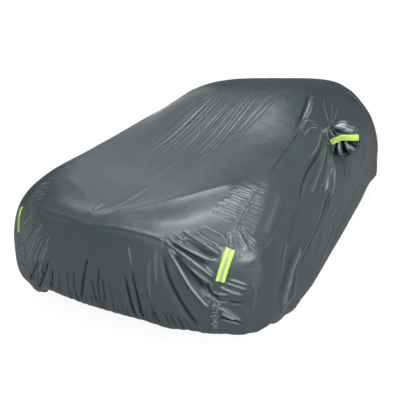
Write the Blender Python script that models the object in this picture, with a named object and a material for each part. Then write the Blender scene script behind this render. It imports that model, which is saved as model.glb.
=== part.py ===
"""A fitted car cover, as it hangs over a compact hatchback that isn't part of it.

Metres. +X is the car's left, the front faces -Y, +Z is up. The sizes below are measured from the ground
under the middle of the car, and each piece is then placed so that the origin is the point under the roof
that carries the cover. The cover is sewn from a top panel, two side panels, two mirror pockets and four
strips of reflective tape. The two long seams run from the front hem up each corner, along the bonnet, the
screen pillar and the roof, and down to the rear hem.

A panel is a net of smooth rails, read off the sections below, with the main folds raised on it, and is
thickened inward into a closed sheet.
"""

import math
from collections import namedtuple

import bpy
import numpy as np
from mathutils import Vector
from mathutils.bvhtree import BVHTree

# Driving dimensions.
CLOTH = 0.002  # thickness of the coated cloth
SEAM_GAP = 0.0003  # between two pieces that are sewn edge to edge
TAPE_THICKNESS = 0.0010
TAPE_LIFT = 0.00032  # from the cloth to the tape on it
FRONT_TAPE_WIDTH = 0.045
POCKET_TAPE_WIDTH = 0.036

QUARTER_AT = 0.58  # where the quarter line lies, from 0 at the middle to 1 at the seam
QUARTER_COLUMNS = 6  # grid columns from the middle to the quarter line
CORNER_COLUMNS = 10  # grid columns from the quarter line to the seam

# One row for each section across the top panel, from the front hem to the rear hem: the middle, the
# quarter line and the long seam on the left, and the grid rows from there to the next section.
Section = namedtuple("Section", "name mid_y mid_z quarter_x quarter_y quarter_z seam_x seam_y seam_z rows")
SECTIONS = (
    Section("front hem turned in", -2.045, 0.290, 0.34, -2.025, 0.292, 0.610, -1.965, 0.268, 1),
    Section("front hem", -2.100, 0.310, 0.36, -2.080, 0.312, 0.640, -2.005, 0.285, 3),
    Section("bumper", -2.150, 0.450, 0.39, -2.115, 0.450, 0.690, -2.010, 0.430, 3),
    Section("grille", -2.155, 0.610, 0.41, -2.110, 0.605, 0.712, -1.980, 0.590, 4),
    Section("under the edge", -2.125, 0.740, 0.42, -2.085, 0.705, 0.735, -1.910, 0.735, 3),
    Section("bonnet edge", -2.095, 0.788, 0.42, -2.065, 0.762, 0.732, -1.820, 0.806, 3),
    Section("bonnet front", -1.980, 0.818, 0.44, -1.950, 0.832, 0.727, -1.710, 0.864, 4),
    Section("bonnet middle", -1.620, 0.872, 0.43, -1.640, 0.900, 0.718, -1.500, 0.936, 4),
    Section("bonnet rear", -1.180, 0.960, 0.41, -1.200, 0.975, 0.703, -1.150, 1.022, 4),
    Section("screen foot", -0.780, 1.120, 0.43, -0.770, 1.130, 0.686, -0.740, 1.124, 6),
    Section("screen head", -0.230, 1.365, 0.46, -0.215, 1.352, 0.650, -0.200, 1.242, 5),
    Section("roof front", 0.250, 1.432, 0.46, 0.250, 1.410, 0.622, 0.180, 1.288, 4),
    Section("roof middle", 0.800, 1.428, 0.46, 0.800, 1.392, 0.612, 0.780, 1.307, 4),
    Section("roof rear", 1.350, 1.360, 0.46, 1.340, 1.350, 0.628, 1.300, 1.275, 4),
    Section("rear screen", 1.800, 1.180, 0.44, 1.780, 1.175, 0.665, 1.680, 1.130, 4),
    Section("tail edge", 2.080, 0.990, 0.42, 2.060, 0.980, 0.700, 1.900, 0.955, 3),
    Section("tail top", 2.150, 0.850, 0.41, 2.120, 0.840, 0.710, 1.970, 0.820, 4),
    Section("tail", 2.170, 0.660, 0.41, 2.140, 0.650, 0.705, 2.000, 0.640, 3),
    Section("rear bumper", 2.165, 0.470, 0.40, 2.135, 0.470, 0.685, 2.005, 0.460, 3),
    Section("rear hem", 2.120, 0.320, 0.37, 2.090, 0.315, 0.640, 1.980, 0.300, 1),
    Section("rear hem turned in", 2.060, 0.300, 0.35, 2.030, 0.295, 0.610, 1.930, 0.285, 0),
)
CARRIED_AT = SECTIONS[12]  # the middle of the roof
FRONT = 5  # the section where the seam leaves the front corner for the bonnet
REAR = 15  # the section where it turns down at the tail
TAPE_FOOT, TAPE_HEAD = 3, 4  # the sections that the front tape runs between

# One row for each section down a side panel, at the top panel's sections between the two corners: its
# shoulder, waist, skirt, hem and turned-in edge, on the left.
Side = namedtuple("Side", "name shoulder waist skirt hem turned_in")
SIDES = (
    Side("bonnet front", (0.810, -1.810, 0.780), (0.855, -1.890, 0.610), (0.862, -1.915, 0.440),
         (0.842, -1.915, 0.285), (0.810, -1.890, 0.272)),
    Side("bonnet middle", (0.835, -1.560, 0.868), (0.897, -1.600, 0.660), (0.895, -1.600, 0.420),
         (0.882, -1.580, 0.200), (0.846, -1.570, 0.187)),
    Side("bonnet rear", (0.830, -1.170, 0.905), (0.915, -1.190, 0.680), (0.912, -1.200, 0.400),
         (0.895, -1.200, 0.140), (0.860, -1.200, 0.127)),
    Side("screen foot", (0.825, -0.760, 0.960), (0.920, -0.780, 0.700), (0.918, -0.790, 0.400),
         (0.897, -0.800, 0.140), (0.860, -0.800, 0.127)),
    Side("screen head", (0.810, -0.200, 1.010), (0.922, -0.200, 0.730), (0.920, -0.200, 0.420),
         (0.898, -0.200, 0.175), (0.860, -0.200, 0.162)),
    Side("roof front", (0.800, 0.200, 1.030), (0.918, 0.220, 0.740), (0.918, 0.240, 0.430),
         (0.898, 0.250, 0.205), (0.860, 0.250, 0.192)),
    Side("roof middle", (0.800, 0.780, 1.040), (0.905, 0.790, 0.740), (0.912, 0.800, 0.450),
         (0.898, 0.800, 0.240), (0.860, 0.800, 0.227)),
    Side("roof rear", (0.803, 1.300, 1.040), (0.895, 1.310, 0.740), (0.908, 1.330, 0.480),
         (0.900, 1.350, 0.285), (0.865, 1.350, 0.272)),
    Side("rear screen", (0.790, 1.640, 0.985), (0.880, 1.680, 0.720), (0.892, 1.720, 0.500),
         (0.880, 1.720, 0.300), (0.845, 1.700, 0.287)),
)
DOWN = (0.0, 0.16, 0.36, 0.62, 0.93, 1.0)  # seam, shoulder, waist, skirt, hem, turned-in edge

# How far the edges' pull reaches into a side panel, as a share of its depth and of its length.
DEPTH_PULL, LENGTH_PULL = 0.5, 0.25

# The main folds: a ridge, or a trough where the height is negative, along a path seen from the front
# (x, z), from above (x, y) or from the side (y, z).
Fold = namedtuple("Fold", "name path width height")
FRONT_FOLDS = (
    Fold("bonnet corner to tape, lowest", ((0.43, 0.770), (0.69, 0.590)), 0.022, 0.018),
    Fold("bonnet corner to tape, middle", ((0.46, 0.800), (0.70, 0.680)), 0.020, 0.016),
    Fold("bonnet corner to tape, highest", ((0.53, 0.825), (0.71, 0.755)), 0.018, 0.012),
    Fold("between the lower two", ((0.46, 0.775), (0.69, 0.635)), 0.018, -0.012),
    Fold("bonnet corner to corner foot", ((0.42, 0.750), (0.49, 0.670), (0.58, 0.530), (0.68, 0.440)),
         0.024, 0.020),
    Fold("hollow under it", ((0.45, 0.680), (0.52, 0.540), (0.61, 0.330)), 0.034, -0.022),
    Fold("middle of the front, left", ((0.25, 0.740), (0.25, 0.600), (0.30, 0.320)), 0.028, 0.016),
    Fold("beside it", ((0.31, 0.640), (0.34, 0.500), (0.33, 0.330)), 0.026, -0.014),
    Fold("middle of the front", ((0.05, 0.660), (0.02, 0.560), (-0.05, 0.330)), 0.030, -0.014),
    Fold("right of the middle", ((-0.20, 0.640), (-0.33, 0.330)), 0.030, -0.012),
    Fold("right corner, long", ((-0.30, 0.700), (-0.44, 0.480), (-0.50, 0.330)), 0.030, 0.016),
    Fold("right corner, middle", ((-0.39, 0.790), (-0.64, 0.630)), 0.022, 0.012),
    Fold("right corner, high", ((-0.40, 0.815), (-0.66, 0.730)), 0.020, 0.010),
)
TOP_FOLDS = (
    Fold("leading edge, right", ((-0.42, -2.020), (-0.25, -2.055), (-0.02, -2.100)), 0.022, 0.009),
    Fold("leading edge, left", ((-0.02, -2.100), (0.16, -2.075), (0.34, -2.055), (0.45, -2.055)),
         0.022, 0.009),
    Fold("second edge", ((0.42, -2.040), (0.47, -1.980), (0.54, -1.920), (0.66, -1.870)), 0.020, 0.009),
    Fold("bonnet crease, left", ((0.28, -1.870), (0.40, -1.760), (0.50, -1.600), (0.63, -1.400)),
         0.070, -0.012),
    Fold("bonnet crease, right", ((-0.01, -2.000), (-0.14, -1.900), (-0.40, -1.760), (-0.58, -1.650)),
         0.060, -0.008),
    Fold("screen pull, right", ((-0.16, -0.050), (-0.30, -1.100)), 0.050, 0.007),
    Fold("screen pull, middle", ((-0.04, -0.150), (-0.20, -1.250)), 0.050, -0.007),
    Fold("screen pull, left", ((0.20, -0.400), (0.05, -1.250)), 0.050, 0.006),
    Fold("pillar groove", ((0.55, -0.020), (0.63, -0.450), (0.68, -0.870)), 0.026, -0.010),
)
LEFT_FOLDS = (
    Fold("roof to mirror", ((0.12, 1.280), (-0.19, 1.130)), 0.030, 0.012),
    Fold("pulled out at the mirror", ((-0.26, 1.160), (-0.340, 1.020)), 0.060, 0.020),
    Fold("mirror to wheel, high", ((-0.44, 1.040), (-1.080, 0.880), (-1.380, 0.760)), 0.030, 0.012),
    Fold("mirror to wheel, low", ((-0.43, 0.960), (-0.860, 0.800), (-1.250, 0.640)), 0.034, -0.012),
    Fold("under the mirror", ((-0.30, 0.880), (-0.33, 0.700)), 0.030, -0.014),
    Fold("wheel arch, front", ((-1.40, 0.480), (-1.56, 0.370), (-1.70, 0.320)), 0.030, 0.016),
    Fold("wheel arch, rear", ((-1.33, 0.420), (-1.42, 0.300), (-1.66, 0.280)), 0.026, 0.014),
    Fold("door, long", ((0.95, 0.760), (-0.30, 0.380)), 0.060, 0.008),
    Fold("sill, long", ((0.60, 0.520), (-0.80, 0.250)), 0.050, -0.007),
    Fold("below the tape", ((-1.97, 0.575), (-1.88, 0.545)), 0.018, 0.010),
    Fold("corner flap", ((-1.99, 0.450), (-1.93, 0.370)), 0.024, 0.010),
)
RIGHT_FOLDS = (
    Fold("roof to mirror", ((0.16, 1.270), (-0.17, 1.130)), 0.030, 0.010),
    Fold("pulled out at the mirror", ((-0.26, 1.160), (-0.340, 1.020)), 0.060, 0.020),
    Fold("mirror to wheel", ((-0.44, 1.000), (-0.980, 0.830), (-1.350, 0.680)), 0.036, 0.012),
    Fold("under the mirror", ((-0.31, 0.880), (-0.30, 0.690)), 0.030, -0.012),
    Fold("wheel arch", ((-1.36, 0.460), (-1.50, 0.330), (-1.68, 0.300)), 0.030, 0.015),
    Fold("door, long", ((1.05, 0.720), (-0.45, 0.420)), 0.060, 0.008),
)
FOLD_START, FOLD_END = 0.18, 0.30  # the shares of a fold's length over which it rises and dies away
SEAM_REACH = 0.10  # how far from the seam the top panel's folds die away, as a share of its half width
SIDE_REACH, CORNER_REACH = 0.06, 0.03  # and a side panel's, as a share of its depth and of its length
FRONT_REACH = 0.10  # how far over the bonnet edge the front's folds give way to the bonnet's
FLAT_AT_TAPE, CREASED_FROM_TAPE = 0.03, 0.09  # how far from a front tape the cloth is flat, then creased

# Where the elastic hem hangs lower, or higher where the drop is negative: across the front, in x, and
# down the sides, in y.
Dip = namedtuple("Dip", "name place width drop")
FRONT_DIPS = (
    Dip("right corner", -0.720, 0.190, 0.042),
    Dip("right of the middle", -0.535, 0.075, 0.050),
    Dip("left of the middle", 0.450, 0.070, 0.016),
)
SIDE_DIPS = (
    Dip("before the front wheel", -1.780, 0.100, -0.034),
    Dip("behind its middle", -1.370, 0.100, 0.030),
)
HEM_LEVEL, DIP_REACH = 0.27, 0.20  # a dip is whole at the hem's level and fades out this far above it
FRONT_ENDS, FRONT_FADE = -1.85, 0.25  # the front's dips fade out from this y to the rear
SIDE_STARTS, SIDE_FADE = 0.84, 0.12  # the sides' dips are whole beyond this x and fade out inside it

# The cut-out for the mirror in a side panel, as seen from the side.
CUT_Y, CUT_Z = -0.320, 1.000
CUT_HALF_WIDTH, CUT_HALF_HEIGHT = 0.100, 0.100
# One row for each ring of a mirror pocket: how far out it stands, its size against the cut-out's, and
# how far back and up its middle lies. The last row is the point of the far end.
Ring = namedtuple("Ring", "name out width height back rise")
LEFT_POCKET = (
    Ring("neck", 0.025, 1.02, 1.04, 0.000, 0.006),
    Ring("shoulder", 0.062, 1.14, 1.20, 0.002, 0.020),
    Ring("belly", 0.112, 1.18, 1.28, 0.006, 0.032),
    Ring("far belly", 0.160, 1.10, 1.20, 0.010, 0.036),
    Ring("end", 0.196, 0.82, 0.90, 0.014, 0.036),
    Ring("end cap", 0.213, 0.40, 0.44, 0.016, 0.034),
    Ring("point", 0.217, 0.00, 0.00, 0.016, 0.034),
)
# The right pocket hangs slack: lower, and less far out.
RIGHT_POCKET = (
    Ring("neck", 0.022, 1.02, 1.00, 0.000, -0.004),
    Ring("shoulder", 0.050, 1.10, 1.06, 0.002, -0.014),
    Ring("belly", 0.086, 1.14, 1.10, 0.004, -0.024),
    Ring("far belly", 0.122, 1.08, 1.02, 0.006, -0.032),
    Ring("end", 0.148, 0.84, 0.78, 0.008, -0.037),
    Ring("end cap", 0.160, 0.42, 0.40, 0.009, -0.038),
    Ring("point", 0.163, 0.00, 0.00, 0.009, -0.038),
)
PLEATS = 6
PLEAT_DEPTH = 0.050  # as a share of a ring's size
TAPE_RING = 3  # the ring whose front the pocket's tape is led over
TAPE_LEVEL = 0.4  # how strongly the tape keeps to the middle of the cut-out's height
LOOK_OUT, LOOK_IN = 0.05, 0.10  # how far out and back in a tape is tested against the panels
LOOK_STEPS = 12  # tests each way over a tape's facet
SHARP = 50  # degrees between facets that stay a crisp edge

FLIP = np.array((-1.0, 1.0, 1.0))  # mirrors the left side to the right


def spline(knots, values):
    """A natural cubic spline through the values, one row to a knot."""
    knots, values = np.asarray(knots, float), np.asarray(values, float)
    count, step = len(knots), np.diff(knots)
    system, right = np.zeros((count, count)), np.zeros((count, values[0].size))
    flat = values.reshape(count, -1)
    system[0, 0] = system[-1, -1] = 1.0
    for i in range(1, count - 1):
        system[i, i - 1 : i + 2] = step[i - 1], 2 * (step[i - 1] + step[i]), step[i]
        right[i] = 6 * ((flat[i + 1] - flat[i]) / step[i] - (flat[i] - flat[i - 1]) / step[i - 1])
    bend = np.linalg.solve(system, right)

    def at(place):
        place = np.asarray(place, float)
        i = np.clip(np.searchsorted(knots, place, side="right") - 1, 0, count - 2)
        h, done, left = step[i][:, None], (place - knots[i])[:, None], (knots[i + 1] - place)[:, None]
        curve = (bend[i] * left**3 + bend[i + 1] * done**3) / (6 * h)
        curve += (flat[i] / h - bend[i] * h / 6) * left + (flat[i + 1] / h - bend[i + 1] * h / 6) * done
        return curve.reshape((len(place),) + values.shape[1:])

    return at


def run(rail):
    """The lengths of a rail's legs."""
    return np.linalg.norm(np.diff(rail, axis=0), axis=1)


def ease(share):
    """1 at 0, falling smoothly to 0 at 1."""
    share = np.clip(share, 0.0, 1.0)
    return (1 - share) ** 2 * (1 + 2 * share)


MIDDLE = np.array([(0.0, s.mid_y, s.mid_z) for s in SECTIONS])
QUARTER = np.array([(s.quarter_x, s.quarter_y, s.quarter_z) for s in SECTIONS])
SEAM = np.array([(s.seam_x, s.seam_y, s.seam_z) for s in SECTIONS])
WAIST = np.array([SEAM[3]] + [s.waist for s in SIDES] + [SEAM[-4]])
HEM = np.array([SEAM[1]] + [s.hem for s in SIDES] + [SEAM[-2]])


def section_places():
    """How far along the cover each section lies."""
    legs = (run(MIDDLE) + run(SEAM)) / 2
    legs[FRONT:REAR] = (run(MIDDLE)[FRONT:REAR] + run(SEAM)[FRONT:REAR] + run(WAIST) + run(HEM)) / 4
    return np.concatenate([[0.0], np.cumsum(legs)])


ALONG = section_places()
SEAM_LINE = spline(ALONG, SEAM)


def rows_between(first, last):
    """The grid rows' places along the cover, from one section to another."""
    parts = []
    for i in range(first, last):
        parts.append(np.linspace(ALONG[i], ALONG[i + 1], SECTIONS[i].rows, endpoint=False))
    return np.concatenate(parts + [[ALONG[last]]])


def across():
    """The grid columns of the top panel, from -1 at the right seam to 1 at the left."""
    inner = np.linspace(0.0, QUARTER_AT, QUARTER_COLUMNS, endpoint=False)
    outer = np.linspace(QUARTER_AT, 1.0, CORNER_COLUMNS + 1)
    half = np.concatenate([inner, outer])
    return np.concatenate([-half[:0:-1], half])


def top_grid(rows, columns):
    """The smooth top panel, as points[row, column]."""
    net = np.stack([SEAM * FLIP, QUARTER * FLIP, MIDDLE, QUARTER, SEAM], axis=1)
    rails = spline(ALONG, net)(rows)
    knots = (-1.0, -QUARTER_AT, 0.0, QUARTER_AT, 1.0)
    return np.swapaxes(spline(knots, np.swapaxes(rails, 0, 1))(columns), 0, 1)


def side_steps():
    """The side panel's rows, from 0 at the seam to 1 at the turned-in edge."""
    parts = [
        np.linspace(DOWN[k], DOWN[k + 1], SECTIONS[FRONT - 1 - k].rows, endpoint=False) for k in range(FRONT)
    ]
    return np.concatenate(parts + [[1.0]])


def side_grid(columns, steps, front_edge, rear_edge):
    """The smooth left side panel, as points[column, step], whose three upper edges lie on the seam."""
    inner = [np.array([SEAM[FRONT + 1 + k], *s[1:]]) for k, s in enumerate(SIDES)]
    net = np.array([SEAM[FRONT::-1]] + inner + [SEAM[REAR:]])
    rails = spline(ALONG[FRONT : REAR + 1], net)(columns)
    grid = np.swapaxes(spline(DOWN, np.swapaxes(rails, 0, 1))(steps), 0, 1)
    grid += (SEAM_LINE(columns) - grid[:, 0])[:, None] * ease(steps / DEPTH_PULL)[None, :, None]
    share = (columns - columns[0]) / (columns[-1] - columns[0])
    grid += (SEAM_LINE(front_edge) - grid[0])[None] * ease(share / LENGTH_PULL)[:, None, None]
    grid += (SEAM_LINE(rear_edge) - grid[-1])[None] * ease((1 - share) / LENGTH_PULL)[:, None, None]
    return grid


def normals(grid):
    """Outward normals of a grid whose rows run to the rear and whose columns run down the left."""
    along, over = np.gradient(grid, axis=0), np.gradient(grid, axis=1)
    out = np.cross(over, along)
    return out / np.linalg.norm(out, axis=-1, keepdims=True)


def near(points, path, width):
    """How near the plane points lie to a path: 1 on it, fading sideways and at its ends."""
    path = np.asarray(path, float)
    legs = run(path)
    start = np.concatenate([[0.0], np.cumsum(legs)])
    best, place = np.full(points.shape[:-1], np.inf), np.zeros(points.shape[:-1])
    for i, leg in enumerate(legs):
        way = (path[i + 1] - path[i]) / leg
        done = np.clip((points - path[i]) @ way, 0.0, leg)
        gap = np.linalg.norm(points - path[i] - done[..., None] * way, axis=-1)
        closer = gap < best
        best, place = np.where(closer, gap, best), np.where(closer, start[i] + done, place)
    share = place / start[-1]
    ends = (1 - ease(share / FOLD_START)) * (1 - ease((1 - share) / FOLD_END))
    return np.exp(-((best / width) ** 2)) * ends


def relief(grid, folds, plane):
    """The height of the folds at a grid's points; plane is the pair of axes that the paths are in."""
    return sum(fold.height * near(grid[..., plane], fold.path, fold.width) for fold in folds)


def tape_line():
    """The left seam between the front tape's ends."""
    return SEAM_LINE(rows_between(TAPE_FOOT, TAPE_HEAD))


def off_the_seam(grid):
    """0 on either seam at a front tape, where the cloth lies flat, and 1 a hand's width away."""
    keep = np.ones(grid.shape[:2])
    for flip in (1.0, FLIP):
        gap = np.min([np.linalg.norm(grid - point, axis=-1) for point in tape_line() * flip], axis=0)
        keep *= 1 - ease((gap - FLAT_AT_TAPE) / (CREASED_FROM_TAPE - FLAT_AT_TAPE))
    return keep


def dip_hem(grid):
    """Lets the hem down, or lifts it, at the dips."""
    x, y = grid[..., 0].copy(), grid[..., 1].copy()
    rise = ease((grid[..., 2] - HEM_LEVEL) / DIP_REACH)
    at_front = ease((y - FRONT_ENDS) / FRONT_FADE)
    at_side = ease((SIDE_STARTS - np.abs(x)) / SIDE_FADE) * (y < 0.0)
    for dips, places, share in ((FRONT_DIPS, x, at_front), (SIDE_DIPS, y, at_side)):
        for dip in dips:
            grid[..., 2] -= dip.drop * rise * share * np.exp(-(((places - dip.place) / dip.width) ** 2))


def top_panel_points():
    rows, columns = rows_between(0, len(SECTIONS) - 1), across()
    grid = top_grid(rows, columns)
    front = ease((rows - ALONG[FRONT]) / FRONT_REACH)[:, None]
    height = relief(grid, FRONT_FOLDS, (0, 2)) * front + relief(grid, TOP_FOLDS, (0, 1)) * (1 - front)
    inland = 1 - ease((1 - np.abs(columns)) / SEAM_REACH)[None, :]
    grid += normals(grid) * (height * inland * off_the_seam(grid))[..., None]
    dip_hem(grid)
    return grid


def side_panel_points(folds, flip):
    """One side panel on the left, with the dips of the side that flip puts it on."""
    columns, steps = rows_between(FRONT, REAR), side_steps()
    front_edge, rear_edge = rows_between(0, FRONT)[::-1], rows_between(REAR, len(SECTIONS) - 1)
    grid = side_grid(columns, steps, front_edge, rear_edge)
    share = (columns - columns[0]) / (columns[-1] - columns[0])
    inland = (1 - ease(steps / SIDE_REACH))[None, :] * (1 - ease(share / CORNER_REACH))[:, None]
    inland = inland * (1 - ease((1 - share) / CORNER_REACH))[:, None]
    grid += normals(grid) * (relief(grid, folds, (1, 2)) * inland * off_the_seam(grid))[..., None]
    grid *= flip
    dip_hem(grid)
    return grid * flip


def seam_frames(top, side):
    """Along the left seam: its points, the normals shared by both panels, and the way to the top panel."""
    edge = top[:, -1]
    side_normals = normals(side)
    side_normals[0, 0], side_normals[-1, 0] = side_normals[1, 1], side_normals[-2, 1]
    ring = np.concatenate([side_normals[0, ::-1], side_normals[1:-1, 0], side_normals[-1, :]])
    out = normals(top)[:, -1] + ring
    out /= np.linalg.norm(out, axis=1, keepdims=True)
    way = np.gradient(edge, axis=0)
    way /= np.linalg.norm(way, axis=1, keepdims=True)
    out -= way * (out * way).sum(1, keepdims=True)
    out /= np.linalg.norm(out, axis=1, keepdims=True)
    return edge, out, np.cross(out, way)


def side_border(side):
    """The indices (column, step) round a side panel, in the seam's order from the front hem."""
    columns, steps = side.shape[:2]
    front = [(0, j) for j in range(steps - 1, -1, -1)]
    top = [(i, 0) for i in range(1, columns - 1)]
    return front + top + [(columns - 1, j) for j in range(steps)]


def cut_block(side):
    """The block of cells that the mirror's cut-out takes: its first and last column and step."""
    off_y, off_z = np.abs(side[..., 1] - CUT_Y), np.abs(side[..., 2] - CUT_Z)
    columns, steps = np.where((off_y < CUT_HALF_WIDTH) & (off_z < CUT_HALF_HEIGHT))
    return columns.min(), columns.max(), steps.min(), steps.max()


def cut_border(block):
    """The indices (column, step) round the block, once, starting at its front lower corner."""
    c0, c1, s0, s1 = block
    up = [(c0, s) for s in range(s1, s0, -1)]
    back = [(c, s0) for c in range(c0, c1)]
    down = [(c1, s) for s in range(s0, s1)]
    return up + back + down + [(c, s1) for c in range(c1, c0, -1)]


def round_the_cut(side, block):
    """Moves the block's border onto the oval of the cut-out, within the panel's surface."""
    surface = normals(side)
    for place in cut_border(block):
        reach = (side[place][1:] - (CUT_Y, CUT_Z)) / (CUT_HALF_WIDTH, CUT_HALF_HEIGHT)
        goal = (CUT_Y, CUT_Z) + reach / np.linalg.norm(reach) * (CUT_HALF_WIDTH, CUT_HALF_HEIGHT)
        slide, n = goal - side[place][1:], surface[place]
        side[place] += (-(slide @ n[1:]) / n[0], *slide)


def unit(vectors):
    return vectors / np.linalg.norm(vectors, axis=-1, keepdims=True)


def cut_rim(side, block):
    """Round the cut-out: its points, the panel's normals there and the ways out from its middle."""
    border = tuple(np.transpose(cut_border(block)))
    points = side[border]
    return points, normals(side)[border], unit(points - points.mean(axis=0))


def triangles(face, points):
    """A face's triangles: a quad is split along its shorter diagonal."""
    if len(face) == 3:
        return [face]
    a, b, c, d = face
    if np.linalg.norm(points[a] - points[c]) <= np.linalg.norm(points[b] - points[d]):
        return [(a, b, c), (a, c, d)]
    return [(a, b, d), (b, c, d)]


def closed_sheet(name, outer, inner, quads, material, flip):
    """An object from the outer points, the inner points and the quads that join them both."""
    faces, rim = [], {}
    for quad in quads:
        for tri in triangles(quad, outer):
            faces.append(tri)
            faces.append(tuple(i + len(outer) for i in reversed(tri)))
        for i in range(len(quad)):
            edge = quad[i], quad[(i + 1) % len(quad)]
            if edge[::-1] in rim:
                del rim[edge[::-1]]
            else:
                rim[edge] = True
    for a, b in rim:
        far_a, far_b = a + len(outer), b + len(outer)
        faces += [(b, a, far_a), (b, far_a, far_b)]
    mesh = bpy.data.meshes.new(name)
    points = np.concatenate([outer, inner])
    used = sorted({i for face in faces for i in face})
    index = {old: new for new, old in enumerate(used)}
    if np.ndim(flip):
        faces = [face[::-1] for face in faces]
    mesh.from_pydata((points[used] * flip).tolist(), [], [tuple(index[i] for i in face) for face in faces])
    mesh.materials.append(material)
    mesh.shade_smooth()
    mesh.set_sharp_from_angle(angle=math.radians(SHARP))
    piece = bpy.data.objects.new(name, mesh)
    piece.location = (0.0, -CARRIED_AT.mid_y, CLOTH - CARRIED_AT.mid_z)
    bpy.context.scene.collection.objects.link(piece)
    return piece


def grid_quads(shape, skip=None):
    """The quads of a grid, wound to face out, without the cells of the skipped block."""
    rows, columns = shape
    index = np.arange(rows * columns).reshape(rows, columns)
    quads = []
    for i in range(rows - 1):
        for j in range(columns - 1):
            if skip and skip[0] <= i < skip[1] and skip[2] <= j < skip[3]:
                continue
            quads.append((index[i, j], index[i, j + 1], index[i + 1, j + 1], index[i + 1, j]))
    return quads


def build_top(top, frames, mirrored_frames, material):
    """The top panel, its two seam edges set half a gap back from the seam."""
    points, out = top.copy(), normals(top)
    for column, (edge, shared, inward), flip in ((-1, frames, 1.0), (0, mirrored_frames, FLIP)):
        points[:, column] = (edge + inward * SEAM_GAP / 2) * flip
        out[:, column] = shared * flip
    outer = points.reshape(-1, 3)
    inner = outer - CLOTH * out.reshape(-1, 3)
    return closed_sheet("top_panel", outer, inner, grid_quads(top.shape[:2]), material, 1.0)


def build_side(name, side, frames, block, material, flip):
    """A side panel with its cut-out, its seam edge set half a gap back from the seam."""
    points, out = side.copy(), normals(side)
    for (c, s), edge, shared, inward in zip(side_border(side), *frames):
        points[c, s] = edge - inward * SEAM_GAP / 2
        out[c, s] = shared
    rim, _, away = cut_rim(side, block)
    points[tuple(np.transpose(cut_border(block)))] = rim + away * SEAM_GAP / 2
    outer = points.reshape(-1, 3)
    inner = outer - CLOTH * out.reshape(-1, 3)
    return closed_sheet(name, outer, inner, grid_quads(side.shape[:2], block), material, flip)


def with_halves(ring):
    """A ring of points or ways with the mean of each pair of neighbours put in between."""
    return np.stack([ring, (ring + np.roll(ring, -1, axis=0)) / 2], axis=1).reshape(-1, 3)


def pocket_rings(side, block, table):
    """A mirror pocket on the left: rings[ring, place round it], from the cut-out out, and their normals."""
    rim, surface, away = cut_rim(side, block)
    base, surface = with_halves(rim - away * SEAM_GAP / 2), unit(with_halves(surface))
    level, reach = base[:, 0].mean(), table[-1].out
    turn = np.arctan2((base[:, 2] - CUT_Z) / CUT_HALF_HEIGHT, (base[:, 1] - CUT_Y) / CUT_HALF_WIDTH)
    rings = [base - CLOTH * surface, base]
    for ring in table[:-1]:
        pleat = 1 + PLEAT_DEPTH * np.cos(PLEATS * turn) * math.sin(math.pi * ring.out / reach)
        y = CUT_Y + ring.back + CUT_HALF_WIDTH * ring.width * np.cos(turn) * pleat
        z = CUT_Z + ring.rise + CUT_HALF_HEIGHT * ring.height * np.sin(turn) * pleat
        x = level + ring.out + (base[:, 0] - level) * float(ease(ring.out / reach))
        rings.append(np.stack([x, y, z], axis=1))
    rings = np.array(rings)
    wrapped = np.concatenate([rings[:, -1:], rings, rings[:, :1]], axis=1)
    out = unit(np.cross(np.gradient(wrapped, axis=0), np.gradient(wrapped, axis=1))[:, 1:-1])
    out[:2] = unit(with_halves(away))
    return rings, out


def build_pocket(name, side, block, table, material, flip):
    """A mirror pocket: a gathered pouch sewn round the cut-out, open to the inside of the cover."""
    rings, out = pocket_rings(side, block, table)
    point = table[-1]
    tip = np.array([(rings[1, :, 0].mean() + point.out, CUT_Y + point.back, CUT_Z + point.rise)])
    outer = np.concatenate([rings.reshape(-1, 3), tip])
    inner = np.concatenate([(rings - CLOTH * out).reshape(-1, 3), tip - (CLOTH, 0.0, 0.0)])
    count, round_it = rings.shape[:2]
    index = np.arange(count * round_it).reshape(count, round_it)
    after = np.roll(index, -1, axis=1)
    quads = []
    for i in range(count - 1):
        quads += zip(after[i], index[i], index[i + 1], after[i + 1])
    quads += [(b, a, count * round_it) for a, b in zip(index[-1], after[-1])]
    return closed_sheet(name, outer, inner, quads, material, flip)


def strip(name, left, middle, right, out, panels, material, flip):
    """A tape over three lines of points, lifted off the panels under it and closed into a flat strip."""
    lines = np.stack([left, middle, right], axis=1)
    under = lines + out[:, None] * TAPE_LIFT
    over = under + out[:, None] * TAPE_THICKNESS
    outer, inner = over.reshape(-1, 3), under.reshape(-1, 3)
    shift = clearance(lines, out, panels)
    outer, inner = outer + shift, inner + shift
    return closed_sheet(name, outer, inner, grid_quads(lines.shape[:2]), material, flip)


def clearance(lines, out, panels):
    """How far a tape still has to move out, for its facets to clear the panels' facets."""
    facing = out.mean(axis=0) / np.linalg.norm(out.mean(axis=0))
    need = 0.0
    for i in range(len(lines) - 1):
        for j in range(lines.shape[1] - 1):
            for u in np.linspace(0, 1, LOOK_STEPS):
                for v in np.linspace(0, 1, LOOK_STEPS):
                    near_edge = lines[i, j] * (1 - v) + lines[i, j + 1] * v
                    far_edge = lines[i + 1, j] * (1 - v) + lines[i + 1, j + 1] * v
                    point = near_edge * (1 - u) + far_edge * u
                    for tree in panels:
                        hit = tree.ray_cast(Vector(point + facing * LOOK_OUT), Vector(-facing), LOOK_IN)[0]
                        if hit:
                            need = max(need, float((np.array(hit) - point) @ facing))
    return facing * need


def tree_of(piece):
    """A search tree over a piece's faces."""
    mesh = piece.data
    return BVHTree.FromPolygons([v.co for v in mesh.vertices], [p.vertices[:] for p in mesh.polygons])


def toward(start, goal, distance):
    """The points at a distance from start toward goal."""
    way = goal - start
    return start + way / np.linalg.norm(way, axis=-1, keepdims=True) * distance


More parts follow.
